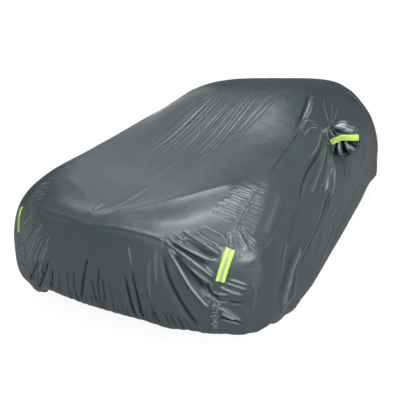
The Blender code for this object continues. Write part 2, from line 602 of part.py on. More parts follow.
def build_front_tape(name, top, side, frames, panels, material, flip):
    """The tape sewn over the long seam on the front corner."""
    first = sum(s.rows for s in SECTIONS[:TAPE_FOOT])
    last = first + SECTIONS[TAPE_FOOT].rows
    rows = slice(first, last + 1)
    edge, out, _ = frames
    beside = side[1, ::-1][rows]
    column = -2 if np.ndim(flip) == 0 else 1
    inland = top[rows, column] * flip
    left = toward(edge[rows], inland, FRONT_TAPE_WIDTH / 2)
    right = toward(edge[rows], beside, FRONT_TAPE_WIDTH / 2)
    return strip(name, left, edge[rows], right, out[rows], panels, material, flip)


def build_pocket_tape(name, side, block, table, panels, material, flip):
    """The narrower tape across the front of a mirror pocket."""
    rings, _ = pocket_rings(side, block, table)
    led = rings[TAPE_RING]
    front = int(np.argmin(led[:, 1] + TAPE_LEVEL * np.abs(led[:, 2] - CUT_Z)))
    middle, above, below = (rings[2:-1, (front + turn) % rings.shape[1]] for turn in (0, 1, -1))
    out = unit(np.cross(np.gradient(middle, axis=0), above - below))
    high, low = toward(middle, above, POCKET_TAPE_WIDTH / 2), toward(middle, below, POCKET_TAPE_WIDTH / 2)
    return strip(name, high, middle, low, out, panels, material, flip)


def paint(name, colour, roughness, metallic=0.0, sheen=0.0):
    """A plain material."""
    material = bpy.data.materials.new(name)
    material.use_nodes = True
    shader = material.node_tree.nodes["Principled BSDF"]
    shader.inputs["Base Color"].default_value = (*colour, 1.0)
    shader.inputs["Roughness"].default_value = roughness
    shader.inputs["Metallic"].default_value = metallic
    shader.inputs["Sheen Weight"].default_value = sheen
    material.diffuse_color = (*colour, 1.0)
    return material


def mirrored_tree(piece):
    """A search tree over a right-hand piece's faces, turned to the left."""
    mesh = piece.data
    points = [Vector((-v.co.x, v.co.y, v.co.z)) for v in mesh.vertices]
    return BVHTree.FromPolygons(points, [p.vertices[:] for p in mesh.polygons])


def main():
    for old in list(bpy.data.objects):
        bpy.data.objects.remove(old, do_unlink=True)
    cloth = paint("slate cloth", (0.085, 0.100, 0.108), 0.42, sheen=0.1)
    side_cloth = paint("slate cloth, side", (0.075, 0.088, 0.092), 0.45, sheen=0.1)
    pouch_cloth = paint("slate cloth, pocket", (0.095, 0.108, 0.116), 0.45, sheen=0.1)
    tape = paint("yellow-green tape", (0.62, 0.90, 0.12), 0.40)

    top = top_panel_points()
    hands = {"left": (LEFT_FOLDS, LEFT_POCKET, 1.0), "right": (RIGHT_FOLDS, RIGHT_POCKET, FLIP)}
    sides, frames = {}, {}
    for hand, (folds, _, flip) in hands.items():
        sides[hand] = side_panel_points(folds, flip)
        facing = top if hand == "left" else top[:, ::-1] * FLIP
        frames[hand] = seam_frames(facing, sides[hand])
    top_piece = build_top(top, frames["left"], frames["right"], cloth)
    for hand, (_, pouch, flip) in hands.items():
        side = sides[hand]
        block = cut_block(side)
        round_the_cut(side, block)
        side_piece = build_side(f"side_panel_{hand}", side, frames[hand], block, side_cloth, flip)
        pocket = build_pocket(f"mirror_pocket_{hand}", side, block, pouch, pouch_cloth, flip)
        if hand == "left":
            panels = tree_of(top_piece), tree_of(side_piece), tree_of(pocket)
        else:
            panels = tuple(mirrored_tree(piece) for piece in (top_piece, side_piece, pocket))
        build_front_tape(f"front_tape_{hand}", top, side, frames[hand], panels[:2], tape, flip)
        build_pocket_tape(f"pocket_tape_{hand}", side, block, pouch, panels[2:], tape, flip)


main()
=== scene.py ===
"""The looks of a fitted car cover of coated slate cloth, in its draped form.

Metres. +X is the cover's left, the front faces -Y, +Z is up. The tables give sizes from the ground under the
middle of the cover, and everything made from them is moved by TO_PACKED into the model's own frame. The three
panels are thin sheets. Each is a net of smooth rails with its folds, puckers and gathers raised on it. The
mirror pockets are sewn into the side panels. The front tapes follow the folded cloth, and the pocket tapes
follow the smooth form of their pockets and stand a little off the folds.
"""

import math
from collections import namedtuple

import bpy
import numpy as np
from mathutils import Matrix, Vector
from mathutils.bvhtree import BVHTree
from mathutils.kdtree import KDTree


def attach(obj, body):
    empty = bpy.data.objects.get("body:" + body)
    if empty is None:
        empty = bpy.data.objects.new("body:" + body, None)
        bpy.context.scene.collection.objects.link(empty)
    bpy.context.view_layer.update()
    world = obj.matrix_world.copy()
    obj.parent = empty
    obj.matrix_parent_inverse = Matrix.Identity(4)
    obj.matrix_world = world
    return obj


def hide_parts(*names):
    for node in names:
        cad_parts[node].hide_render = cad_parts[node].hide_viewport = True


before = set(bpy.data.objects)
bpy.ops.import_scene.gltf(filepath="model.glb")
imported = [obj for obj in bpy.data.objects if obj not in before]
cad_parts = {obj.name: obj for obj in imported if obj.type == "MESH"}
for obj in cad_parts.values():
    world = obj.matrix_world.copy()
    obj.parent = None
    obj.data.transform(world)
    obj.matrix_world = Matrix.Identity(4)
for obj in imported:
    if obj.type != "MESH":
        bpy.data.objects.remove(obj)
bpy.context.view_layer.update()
TO_PACKED = np.array((0.0, -0.800, -1.426))

# ---------------------------------------------------------------- the smooth shape

# One row for each section across the top panel, from the front hem to the rear hem: the middle, the
# quarter line and the long seam on the left, and the net's rows from there to the next section.
Section = namedtuple("Section", "name mid_y mid_z quarter_x quarter_y quarter_z seam_x seam_y seam_z rows")
SECTIONS = (
    Section("front hem turned in", -2.045, 0.290, 0.34, -2.025, 0.292, 0.610, -1.965, 0.268, 3),
    Section("front hem", -2.100, 0.310, 0.36, -2.080, 0.312, 0.640, -2.005, 0.285, 24),
    Section("bumper", -2.150, 0.450, 0.39, -2.115, 0.450, 0.690, -2.010, 0.430, 26),
    Section("grille", -2.155, 0.610, 0.41, -2.110, 0.605, 0.712, -1.980, 0.590, 26),
    Section("under the edge", -2.125, 0.740, 0.42, -2.085, 0.705, 0.735, -1.910, 0.735, 28),
    Section("bonnet edge", -2.095, 0.788, 0.42, -2.065, 0.762, 0.732, -1.820, 0.806, 34),
    Section("bonnet front", -1.980, 0.818, 0.44, -1.950, 0.832, 0.727, -1.710, 0.864, 52),
    Section("bonnet middle", -1.620, 0.872, 0.43, -1.640, 0.900, 0.718, -1.500, 0.936, 34),
    Section("bonnet rear", -1.180, 0.960, 0.41, -1.200, 0.975, 0.703, -1.150, 1.022, 28),
    Section("screen foot", -0.780, 1.120, 0.43, -0.770, 1.130, 0.686, -0.740, 1.124, 36),
    Section("screen head", -0.230, 1.365, 0.46, -0.215, 1.352, 0.650, -0.200, 1.242, 26),
    Section("roof front", 0.250, 1.432, 0.46, 0.250, 1.410, 0.622, 0.180, 1.288, 16),
    Section("roof middle", 0.800, 1.428, 0.46, 0.800, 1.392, 0.612, 0.780, 1.307, 14),
    Section("roof rear", 1.350, 1.360, 0.46, 1.340, 1.350, 0.628, 1.300, 1.275, 14),
    Section("rear screen", 1.800, 1.180, 0.44, 1.780, 1.175, 0.665, 1.680, 1.130, 10),
    Section("tail edge", 2.080, 0.990, 0.42, 2.060, 0.980, 0.700, 1.900, 0.955, 8),
    Section("tail top", 2.150, 0.850, 0.41, 2.120, 0.840, 0.710, 1.970, 0.820, 8),
    Section("tail", 2.170, 0.660, 0.41, 2.140, 0.650, 0.705, 2.000, 0.640, 8),
    Section("rear bumper", 2.165, 0.470, 0.40, 2.135, 0.470, 0.685, 2.005, 0.460, 8),
    Section("rear hem", 2.120, 0.320, 0.37, 2.090, 0.315, 0.640, 1.980, 0.300, 3),
    Section("rear hem turned in", 2.060, 0.300, 0.35, 2.030, 0.295, 0.610, 1.930, 0.285, 0),
)
FRONT, REAR = 5, 15  # the sections where the seam leaves the front corner and turns down at the tail
QUARTER_AT = 0.58  # where the quarter line lies, from 0 at the middle to 1 at the seam
# The net's columns across the top panel: right of the middle and left of it, inside and outside the
# quarter line. They lie closer together toward the seams.
RIGHT_OUTER, RIGHT_INNER, LEFT_INNER, LEFT_OUTER = 44, 58, 66, 78
CROWDING = 1.2

# One row for each section down a side panel, at the top panel's sections between the two corners: its
# shoulder, waist, skirt, hem and turned-in edge, on the left.
Side = namedtuple("Side", "name shoulder waist skirt hem turned_in")
SIDES = (
    Side("bonnet front", (0.810, -1.810, 0.780), (0.855, -1.890, 0.610), (0.862, -1.915, 0.440),
         (0.842, -1.915, 0.285), (0.810, -1.890, 0.272)),
    Side("bonnet middle", (0.835, -1.560, 0.868), (0.897, -1.600, 0.660), (0.895, -1.600, 0.420),
         (0.882, -1.580, 0.200), (0.846, -1.570, 0.187)),
    Side("bonnet rear", (0.830, -1.170, 0.905), (0.915, -1.190, 0.680), (0.912, -1.200, 0.400),
         (0.895, -1.200, 0.140), (0.860, -1.200, 0.127)),
    Side("screen foot", (0.825, -0.760, 0.960), (0.920, -0.780, 0.700), (0.918, -0.790, 0.400),
         (0.897, -0.800, 0.140), (0.860, -0.800, 0.127)),
    Side("screen head", (0.810, -0.200, 1.010), (0.922, -0.200, 0.730), (0.920, -0.200, 0.420),
         (0.898, -0.200, 0.175), (0.860, -0.200, 0.162)),
    Side("roof front", (0.800, 0.200, 1.030), (0.918, 0.220, 0.740), (0.918, 0.240, 0.430),
         (0.898, 0.250, 0.205), (0.860, 0.250, 0.192)),
    Side("roof middle", (0.800, 0.780, 1.040), (0.905, 0.790, 0.740), (0.912, 0.800, 0.450),
         (0.898, 0.800, 0.240), (0.860, 0.800, 0.227)),
    Side("roof rear", (0.803, 1.300, 1.040), (0.895, 1.310, 0.740), (0.908, 1.330, 0.480),
         (0.900, 1.350, 0.285), (0.865, 1.350, 0.272)),
    Side("rear screen", (0.790, 1.640, 0.985), (0.880, 1.680, 0.720), (0.892, 1.720, 0.500),
         (0.880, 1.720, 0.300), (0.845, 1.700, 0.287)),
)
DOWN = (0.0, 0.16, 0.36, 0.62, 0.93, 1.0)  # seam, shoulder, waist, skirt, hem, turned-in edge
# The net of a side panel: its columns between one section and the next, and its rows down the cloth.
LEFT_COLUMNS, LEFT_STEPS = (52, 56, 60, 62, 72, 40, 28, 24, 20, 18), (48, 54, 52, 42, 4)
RIGHT_COLUMNS, RIGHT_STEPS = (30, 24, 26, 26, 36, 24, 20, 18, 16, 14), (30, 28, 28, 28, 4)

# Where the elastic hem hangs lower, or higher where the drop is negative: across the front, in x, and
# down the sides, in y.
Dip = namedtuple("Dip", "name place width drop")
FRONT_DIPS = (
    Dip("right corner", -0.720, 0.190, 0.042),
    Dip("right of the middle", -0.535, 0.075, 0.050),
    Dip("left of the middle", 0.450, 0.070, 0.016),
)
SIDE_DIPS = (
    Dip("before the front wheel", -1.780, 0.100, -0.034),
    Dip("behind its middle", -1.370, 0.100, 0.030),
)
DIP_REACH = 0.20  # how far up the cloth a dip fades out
FLIP = np.array((-1.0, 1.0, 1.0))  # mirrors the left side to the right

# ---------------------------------------------------------------- the folds

# A fold is a ridge, or a trough where its height is negative, along a path seen from the front (x, z), from
# above (x, y) or from either side (y, z). flare is its width at the far end against the near end. A round
# fold has a soft crest, a keen one a sharp crest, and a step leaves its left higher than its right.
# near and far are the shares of its length over which its two ends fade out.
Fold = namedtuple(
    "Fold", "name view path width height flare form near far", defaults=(1.0, "round", 0.12, 0.30)
)
FOLDS = (
    Fold("corner, brightest", "front", ((0.440, 0.773), (0.507, 0.731), (0.605, 0.666), (0.688, 0.599)),
         0.0060, 0.0150, 1.4, "keen", 0.15, 0.08),
    Fold("corner, second", "front", ((0.453, 0.788), (0.540, 0.733), (0.638, 0.693), (0.694, 0.672)),
         0.0055, 0.0120, 1.4, "keen", 0.20, 0.25),
    Fold("corner, beside the second", "front", ((0.484, 0.790), (0.590, 0.732), (0.640, 0.706)),
         0.0045, 0.0075, 1.3, "keen", 0.20),
    Fold("corner, third", "front", ((0.504, 0.806), (0.559, 0.778), (0.626, 0.744), (0.706, 0.700)),
         0.0060, 0.0140, 1.4, "keen", 0.20, 0.12),
    Fold("corner, beside the third", "front", ((0.521, 0.808), (0.587, 0.772), (0.660, 0.738)),
         0.0040, 0.0050, 1.3, "keen", 0.20),
    Fold("corner, fourth", "front", ((0.545, 0.810), (0.601, 0.776), (0.711, 0.728)), 0.0055, 0.0110, 1.3,
         "keen", 0.2),
    Fold("corner, fifth", "front", ((0.574, 0.818), (0.637, 0.796), (0.718, 0.755)), 0.0050, 0.0085, 1.3,
         "keen", 0.3),
    Fold("between first and second", "front", ((0.480, 0.758), (0.560, 0.712), (0.670, 0.650)), 0.012,
         -0.012),
    Fold("between second and third", "front", ((0.520, 0.768), (0.600, 0.730), (0.690, 0.690)), 0.010,
         -0.010),
    Fold("corner to foot, bright", "front", ((0.454, 0.744), (0.524, 0.664), (0.584, 0.563), (0.677, 0.441)),
         0.0095, 0.0220, 1.4, "keen", 0.20, 0.08),
    Fold("corner to foot, its crest", "front",
         ((0.490, 0.712), (0.540, 0.640), (0.600, 0.540), (0.668, 0.455)),
         0.0040, 0.0045, 1.0, "keen", 0.20, 0.10),
    Fold("corner to foot, beside it", "front", ((0.522, 0.697), (0.605, 0.623), (0.697, 0.557)), 0.006,
         0.008, 1.3, "keen"),
    Fold("corner to foot, between", "front", ((0.500, 0.712), (0.600, 0.600), (0.675, 0.500)), 0.016, -0.012),
    Fold("hollow beside it", "front", ((0.449, 0.722), (0.493, 0.576), (0.553, 0.444), (0.624, 0.331)),
         0.011, -0.009, 1.2, "round", 0.2, 0.15),
    Fold("soft, left of the corner", "front", ((0.415, 0.726), (0.434, 0.526)), 0.010, 0.003),
    Fold("soft, beside it", "front", ((0.393, 0.700), (0.388, 0.346)), 0.010, 0.003),
    Fold("under the tape, top", "front", ((0.736, 0.594), (0.790, 0.578), (0.840, 0.557)), 0.004, 0.005,
         1.0, "keen", 0.30),
    Fold("under the tape, middle", "front", ((0.720, 0.577), (0.777, 0.560), (0.840, 0.535)), 0.004, 0.007,
         1.0, "keen", 0.35),
    Fold("under the tape, bent", "front", ((0.685, 0.574), (0.739, 0.541), (0.828, 0.510)), 0.004, 0.007,
         1.3, "keen", 0.35),
    Fold("under the tape, long", "front", ((0.652, 0.549), (0.709, 0.519), (0.790, 0.532)), 0.004, 0.008,
         1.0, "keen", 0.30),
    Fold("under the tape, low", "front", ((0.648, 0.515), (0.700, 0.482), (0.770, 0.480)), 0.004, 0.007,
         1.0, "keen", 0.35),
    Fold("dark above the knots", "front", ((0.651, 0.574), (0.684, 0.512), (0.724, 0.488)), 0.009, -0.010),
    Fold("dark beside the knots", "front", ((0.751, 0.487), (0.786, 0.475), (0.825, 0.480)), 0.008, -0.004),
    Fold("flap, upper edge", "front", ((0.700, 0.455), (0.768, 0.420), (0.822, 0.370)), 0.007, 0.010, 1.4,
         "keen"),
    Fold("flap, lower edge", "front", ((0.715, 0.395), (0.777, 0.380), (0.822, 0.364)), 0.008, -0.008),
    Fold("flap, pale field", "front", ((0.722, 0.428), (0.795, 0.386)), 0.015, 0.014, 0.5),
    Fold("side of the corner, down", "front",
         ((0.838, 0.580), (0.860, 0.540), (0.859, 0.455), (0.846, 0.395)), 0.012, 0.0025),
    Fold("front, middle", "front", ((0.031, 0.640), (-0.022, 0.489), (-0.077, 0.345)),
         0.008, -0.017, 1.2, "keen", 0.12, 0.05),
    Fold("front, beside the middle", "front", ((0.110, 0.600), (0.075, 0.446), (0.080, 0.330)),
         0.007, -0.013, 1.2, "keen", 0.15, 0.05),
    Fold("front, left, long", "front", ((0.294, 0.680), (0.314, 0.484), (0.334, 0.335)),
         0.008, -0.018, 1.2, "keen", 0.3, 0.05),
    Fold("front, left, beside it", "front", ((0.257, 0.620), (0.271, 0.485), (0.290, 0.340)),
         0.007, -0.015, 1.2, "keen", 0.3, 0.05),
    Fold("front, left, ridge", "front", ((0.276, 0.741), (0.303, 0.618), (0.300, 0.560)), 0.007, 0.005, 1.0,
         "keen"),
    Fold("front, right corner, outer", "front", ((-0.380, 0.540), (-0.507, 0.398), (-0.595, 0.313)),
         0.009, -0.018, 1.2, "keen", 0.25, 0.05),
    Fold("front, right corner, inner", "front", ((-0.268, 0.576), (-0.349, 0.452), (-0.492, 0.284)),
         0.009, -0.018, 1.2, "keen", 0.25, 0.05),
    Fold("front, right corner, short", "front", ((-0.250, 0.500), (-0.339, 0.320)), 0.008, -0.013, 1.0,
         "keen", 0.25, 0.05),
    Fold("leading edge", "top",
         ((-0.420, -2.030), (-0.300, -2.062), (-0.200, -2.078), (-0.070, -2.092), (0.030, -2.100),
         (0.130, -2.090), (0.260, -2.080), (0.380, -2.066), (0.450, -2.052)), 0.0045, 0.008, 1.0, "step",
         0.05, 0.03),
    Fold("bonnet crease, left", "top", ((0.030, -2.030), (0.130, -1.950), (0.240, -1.860), (0.382, -1.744),
         (0.520, -1.600), (0.640, -1.450)), 0.050, 0.022, 1.3, "keen", 0.15, 0.20),
    Fold("bonnet, front lip", "top", ((-0.480, -1.920), (-0.200, -2.010), (0.000, -2.030), (0.200, -2.015),
         (0.420, -1.970), (0.560, -1.900)), 0.075, 0.016, 1.0, "round", 0.35, 0.40),
    Fold("bonnet crease, right", "top",
         ((-0.100, -1.980), (-0.230, -1.850), (-0.405, -1.760), (-0.560, -1.680)),
         0.055, 0.003, 1.0, "keen", 0.25, 0.25),
    Fold("screen to the peak", "top", ((0.023, -1.584), (0.025, -1.700), (0.010, -1.860), (-0.031, -1.975)),
         0.020, -0.004),
    Fold("beside it", "top", ((0.075, -1.600), (0.070, -1.750), (0.040, -1.900), (-0.010, -2.020)), 0.014,
         0.0025),
    Fold("at the peak, thin", "top", ((-0.032, -2.040), (-0.090, -1.960), (-0.161, -1.871)), 0.005, 0.004,
         1.0, "keen"),
    Fold("at the peak, broad", "top", ((-0.045, -1.990), (-0.063, -1.889)), 0.010, 0.006),
    Fold("pillar groove", "top", ((0.553, -0.031), (0.607, -0.341), (0.634, -0.546), (0.689, -0.915)),
         0.008, -0.022, 0.8, "keen", 0.10, 0.50),
    Fold("beside the pillar groove", "top", ((0.580, -0.050), (0.630, -0.330), (0.662, -0.540)), 0.006,
         0.010, 1.0, "keen"),
    Fold("seam below the pillar", "top",
         ((0.672, -0.640), (0.686, -0.740), (0.697, -0.980), (0.705, -1.200), (0.716, -1.440)),
         0.005, -0.007, 1.0, "keen", 0.20, 0.30),
    Fold("pinch, hollow", "side", ((-0.392, 1.115), (-0.402, 1.060)), 0.014, -0.020, 1.0, "round", 0.30,
         0.30),
    Fold("pinch to roof, front", "side", ((-0.200, 1.078), (-0.160, 1.095), (-0.076, 1.179), (0.102, 1.275)),
         0.006, 0.012, 1.8, "keen", 0.25, 0.2),
    Fold("pinch to roof, middle", "side", ((-0.200, 1.080), (0.020, 1.140), (0.300, 1.245)), 0.005, 0.007,
         2.0, "keen", 0.25),
    Fold("pinch to roof, rear", "side", ((-0.200, 1.085), (-0.061, 1.102), (0.406, 1.194)), 0.005, 0.005,
         2.0, "keen", 0.25),
    Fold("pinch to pillar, low", "side", ((-0.400, 1.100), (-0.532, 1.121), (-0.758, 1.083)), 0.006, 0.007,
         1.6, "keen", 0.25),
    Fold("pinch to pillar, high", "side", ((-0.390, 1.125), (-0.501, 1.165), (-0.732, 1.115)), 0.006, 0.007,
         1.6, "keen", 0.25),
    Fold("pinch to wheel, highest", "side", ((-0.420, 1.080), (-0.630, 1.019), (-0.914, 0.969)), 0.007,
         0.009, 1.6, "keen", 0.25),
    Fold("pinch to wheel, dark", "side", ((-0.400, 1.070), (-0.560, 1.005), (-0.888, 0.935), (-1.202, 0.851),
         (-1.330, 0.790)), 0.007, -0.018, 1.3, "keen", 0.15, 0.15),
    Fold("pinch to wheel, bright", "side",
         ((-0.410, 1.030), (-0.650, 0.940), (-0.906, 0.863), (-1.150, 0.790)),
         0.006, 0.015, 1.3, "keen", 0.20, 0.15),
    Fold("pinch to wheel, thin", "side", ((-0.430, 1.000), (-0.715, 0.844), (-1.070, 0.766)), 0.005, 0.010,
         1.4, "keen", 0.20),
    Fold("pinch to wheel, bent", "side", ((-0.430, 0.985), (-0.531, 0.876), (-0.712, 0.809), (-0.860, 0.744)),
         0.006, 0.015, 1.3, "keen", 0.20, 0.12),
    Fold("pinch to sill, dark", "side", ((-0.480, 0.900), (-0.690, 0.730), (-1.060, 0.600), (-1.250, 0.480)),
         0.010, -0.009, 1.6),
    Fold("long, to the wheel", "side", ((-0.817, 0.756), (-1.259, 0.519), (-1.442, 0.445), (-1.686, 0.363)),
         0.007, 0.010, 1.0, "keen"),
    Fold("long, to the sill", "side", ((-0.576, 0.695), (-1.000, 0.590), (-1.220, 0.480), (-1.362, 0.355)),
         0.008, -0.008, 1.0, "keen"),
    Fold("under the mirror, triangle", "side", ((-0.235, 0.865), (-0.262, 0.785), (-0.291, 0.705)), 0.040,
         -0.018, 0.2),
    Fold("wing line", "side", ((-1.220, 0.935), (-1.320, 0.920), (-1.450, 0.905), (-1.590, 0.870)), 0.020,
         0.005),
    Fold("wing, lower edge", "side",
         ((-1.600, 0.785), (-1.770, 0.735), (-1.840, 0.705), (-1.890, 0.682), (-1.935, 0.672)),
         0.008, 0.004, 1.0, "step"),
    Fold("edge of the bulge", "side", ((-1.323, 0.770), (-1.470, 0.719), (-1.580, 0.620)), 0.020, -0.010),
    Fold("wheel arch, broad", "side", ((-1.300, 0.600), (-1.479, 0.471), (-1.580, 0.376), (-1.690, 0.335)),
         0.010, 0.030, 1.0, "keen", 0.3, 0.1),
    Fold("wheel arch, bent", "side",
         ((-1.250, 0.500), (-1.374, 0.392), (-1.409, 0.291), (-1.616, 0.304), (-1.720, 0.309)),
         0.008, 0.016, 1.0, "keen", 0.3, 0.1),
    Fold("wheel arch, upright", "side", ((-1.561, 0.672), (-1.636, 0.577), (-1.674, 0.463)), 0.014, 0.007),
    Fold("rear quarter, high", "side", ((0.830, 1.305), (1.014, 1.231), (1.269, 1.152)), 0.010, -0.009),
    Fold("rear quarter, middle", "side", ((0.800, 1.274), (0.990, 1.194), (1.185, 1.089)), 0.009, -0.007),
    Fold("rear quarter, short", "side", ((1.006, 1.290), (1.141, 1.223), (1.241, 1.124)), 0.009, 0.007),
    Fold("door, long", "side", ((0.950, 0.760), (-0.300, 0.400)), 0.050, 0.006),
    Fold("sill, long", "side", ((0.600, 0.520), (-0.800, 0.250)), 0.040, -0.006),
    Fold("right pinch to roof", "right", ((-0.350, 1.080), (-0.170, 1.120), (0.160, 1.270)), 0.010, 0.011,
         1.8),
    Fold("right pinch to wheel, high", "right", ((-0.390, 1.060), (-0.700, 0.970), (-1.200, 0.800)), 0.009,
         0.009, 1.6),
    Fold("right pinch to wheel, low", "right", ((-0.400, 1.030), (-0.690, 0.860), (-1.250, 0.610)), 0.009,
         -0.009, 1.6),
    Fold("right, under the mirror", "right", ((-0.300, 0.870), (-0.320, 0.700)), 0.030, -0.012, 0.4),
    Fold("right wheel arch", "right", ((-1.360, 0.460), (-1.500, 0.320), (-1.680, 0.300)), 0.014, 0.013),
    Fold("right door, long", "right", ((1.050, 0.720), (-0.450, 0.420)), 0.050, 0.006),
    Fold("tail, left", "back", ((0.480, 0.860), (0.560, 0.640), (0.600, 0.340)), 0.014, 0.012),
    Fold("tail, right", "back", ((-0.460, 0.870), (-0.570, 0.660), (-0.610, 0.340)), 0.014, 0.012),
    Fold("tail, middle", "back", ((0.060, 0.820), (0.020, 0.560), (0.040, 0.330)), 0.020, -0.008),
    Fold("rear screen, left", "top", ((0.300, 1.420), (0.380, 1.760), (0.480, 2.040)), 0.014, 0.006),
    Fold("rear screen, right", "top", ((-0.280, 1.400), (-0.400, 1.740), (-0.500, 2.030)), 0.014, 0.006),
)
# A fan is a row of folds from one line to another. Its folds differ a little in length, height and place,
# by the given seed. cut is the greatest share of its length that a fold may fall short by at either end.
Fan = namedtuple("Fan", "name view start end count width height flare seed form cut", defaults=("keen", 0.25))
FANS = (
    Fan("wing to tape, fine", "front", ((0.698, 0.797), (0.748, 0.806)),
        ((0.765, 0.665), (0.813, 0.687), (0.856, 0.735)),
        10, 0.0045, 0.0060, 1.2, 3, "keen", 0.15),
    Fan("bonnet beside the seam", "top", ((0.580, -1.850), (0.560, -1.640), (0.600, -1.470)),
        ((0.738, -1.825), (0.742, -1.530)),
        17, 0.0055, 0.0050, 0.8, 5),
    Fan("knots at the corner foot", "front", ((0.660, 0.475), (0.672, 0.335)),
        ((0.728, 0.468), (0.720, 0.335)),
        12, 0.0045, 0.0125, 1.0, 7),
    Fan("screen, middle", "top", ((-0.180, -0.060), (0.300, -0.040)),
        ((-0.410, -1.500), (-0.210, -1.740), (0.020, -1.860), (0.170, -1.700)),
        18, 0.0062, -0.0025, 1.0, 11, "keen", 0.10),
    Fan("screen, left", "top", ((0.300, -0.150), (0.420, -0.360)), ((0.200, -1.050), (0.300, -0.850)),
        4, 0.007, -0.0019, 1.0, 12, "keen", 0.15),
    Fan("screen, right", "top", ((-0.300, -0.330), (-0.190, -0.180)), ((-0.480, -0.700), (-0.390, -1.150)),
        5, 0.007, -0.0019, 1.0, 13, "keen", 0.15),
    Fan("pillar, fine", "top", ((0.575, -0.100), (0.622, -0.120)), ((0.655, -0.600), (0.700, -0.750)),
        6, 0.005, 0.0040, 1.2, 14),
    Fan("bonnet, right wing", "top", ((-0.600, -1.780), (-0.427, -1.979)),
        ((-0.735, -1.760), (-0.690, -1.930)),
        9, 0.006, 0.0055, 1.0, 17),
    Fan("right corner", "front", ((-0.404, 0.811), (-0.281, 0.780), (-0.202, 0.703)),
        ((-0.670, 0.620), (-0.640, 0.414), (-0.425, 0.359)), 11, 0.007, 0.0105, 1.6, 19),
    Fan("right corner foot", "front", ((-0.560, 0.540), (-0.600, 0.360)), ((-0.730, 0.500), (-0.760, 0.360)),
        7, 0.007, 0.0070, 1.0, 23),
    Fan("front hem, short", "front", ((-0.560, 0.400), (0.000, 0.425), (0.560, 0.415)),
        ((-0.600, 0.300), (0.600, 0.300)),
        34, 0.006, -0.0060, 1.3, 25),
    Fan("front hem, long", "front", ((-0.420, 0.560), (0.400, 0.560)), ((-0.500, 0.310), (0.450, 0.310)),
        13, 0.007, -0.0050, 1.3, 27),
    Fan("round the pinch", "side", ((-0.405, 1.135), (-0.425, 1.050)), ((-0.500, 1.200), (-0.640, 1.000)),
        7, 0.005, 0.0028, 1.5, 29),
    Fan("mirror to sill", "side", ((-0.470, 0.950), (-0.430, 0.890)), ((-0.960, 0.740), (-0.760, 0.560)),
        8, 0.006, 0.0070, 1.6, 31),
    Fan("side, long", "side", ((-0.450, 0.700), (-0.200, 0.420)), ((-1.250, 0.480), (-1.050, 0.180)),
        12, 0.007, 0.0085, 1.3, 33),
    Fan("right, pinch to wheel", "right", ((-0.420, 1.060), (-0.430, 0.900)),
        ((-1.250, 0.860), (-0.900, 0.560)),
        8, 0.010, 0.0075, 1.5, 45),
    Fan("right side, long", "right", ((-0.450, 0.700), (-0.200, 0.420)), ((-1.250, 0.480), (-1.050, 0.180)),
        9, 0.011, 0.0060, 1.3, 46),
    Fan("tail, left corner", "back", ((0.440, 0.900), (0.460, 0.800)), ((0.690, 0.800), (0.680, 0.500)),
        7, 0.012, 0.0090, 1.6, 37),
    Fan("tail, right corner", "back", ((-0.440, 0.900), (-0.460, 0.800)), ((-0.690, 0.800), (-0.680, 0.500)),
        7, 0.012, 0.0090, 1.6, 41),
    Fan("rear hem", "back", ((-0.560, 0.440), (0.560, 0.440)), ((-0.600, 0.320), (0.600, 0.320)),
        22, 0.012, -0.0070, 1.2, 42),
)

# Puckers along the long seams, where the thread draws the cloth in. start and end are places along the
# seam from the front hem, wave is their spacing and reach how far from the seam they fade.
Pucker = namedtuple("Pucker", "name start end wave height reach")
PUCKERS = (
    Pucker("knots below the tape", 0.06, 0.36, 0.024, 0.0034, 0.035),
    Pucker("bonnet corner, fine", 0.53, 1.15, 0.017, 0.0036, 0.030),
    Pucker("bonnet corner, long", 0.54, 1.05, 0.031, 0.0018, 0.050),
    Pucker("all along", 1.00, 5.20, 0.060, 0.0010, 0.030),
)
GROOVE_DEPTH, GROOVE_WIDTH = 0.0018, 0.0040  # where the two panels turn in to the seam
GATHERED_AT = 0.003  # puckers as high as this leave almost no groove
WELT_HEIGHT, WELT_AT = 0.0009, 0.009  # the rise beside the groove
TUCK_IN, TUCK_ON = 0.0012, 0.004  # how far a side panel's seam edge lies under the top's, and runs on there

GATHERS_HIGH = 0.110  # how far up from the hem its gathers reach
GATHER_WAVE, GATHER_HEIGHT = 0.055, 0.0042
FINE_GATHER_WAVE, FINE_GATHER_SHARE = 0.43, 0.6  # of the fine gathers, against the broad ones
FINE_GATHERS_HIGH = 0.05
ELASTIC_AT, ELASTIC_WIDTH, ELASTIC_DEPTH = 0.045, 0.012, 0.004  # the groove where the elastic draws in
# The soft swell of the whole cloth: height, wave and seed.
SWELLS = ((0.0022, 0.45, 61), (0.0007, 0.12, 62))
UNDER_TAPE = 0.85  # how much flatter the cloth lies under a front tape


def spline(knots, values):
    """A natural cubic spline through the values, one row to a knot."""
    knots, values = np.asarray(knots, float), np.asarray(values, float)
    count, step = len(knots), np.diff(knots)
    system, right = np.zeros((count, count)), np.zeros((count, values[0].size))
    flat = values.reshape(count, -1)
    system[0, 0] = system[-1, -1] = 1.0
    for i in range(1, count - 1):
        system[i, i - 1 : i + 2] = step[i - 1], 2 * (step[i - 1] + step[i]), step[i]
        right[i] = 6 * ((flat[i + 1] - flat[i]) / step[i] - (flat[i] - flat[i - 1]) / step[i - 1])
    bend = np.linalg.solve(system, right)

    def at(place):
        place = np.asarray(place, float)
        i = np.clip(np.searchsorted(knots, place, side="right") - 1, 0, count - 2)
        h, done, left = step[i][:, None], (place - knots[i])[:, None], (knots[i + 1] - place)[:, None]
        curve = (bend[i] * left**3 + bend[i + 1] * done**3) / (6 * h)
        curve += (flat[i] / h - bend[i] * h / 6) * left + (flat[i + 1] / h - bend[i + 1] * h / 6) * done
        return curve.reshape((len(place),) + values.shape[1:])

    return at


def run(rail):
    """The lengths of a rail's legs."""
    return np.linalg.norm(np.diff(rail, axis=0), axis=1)


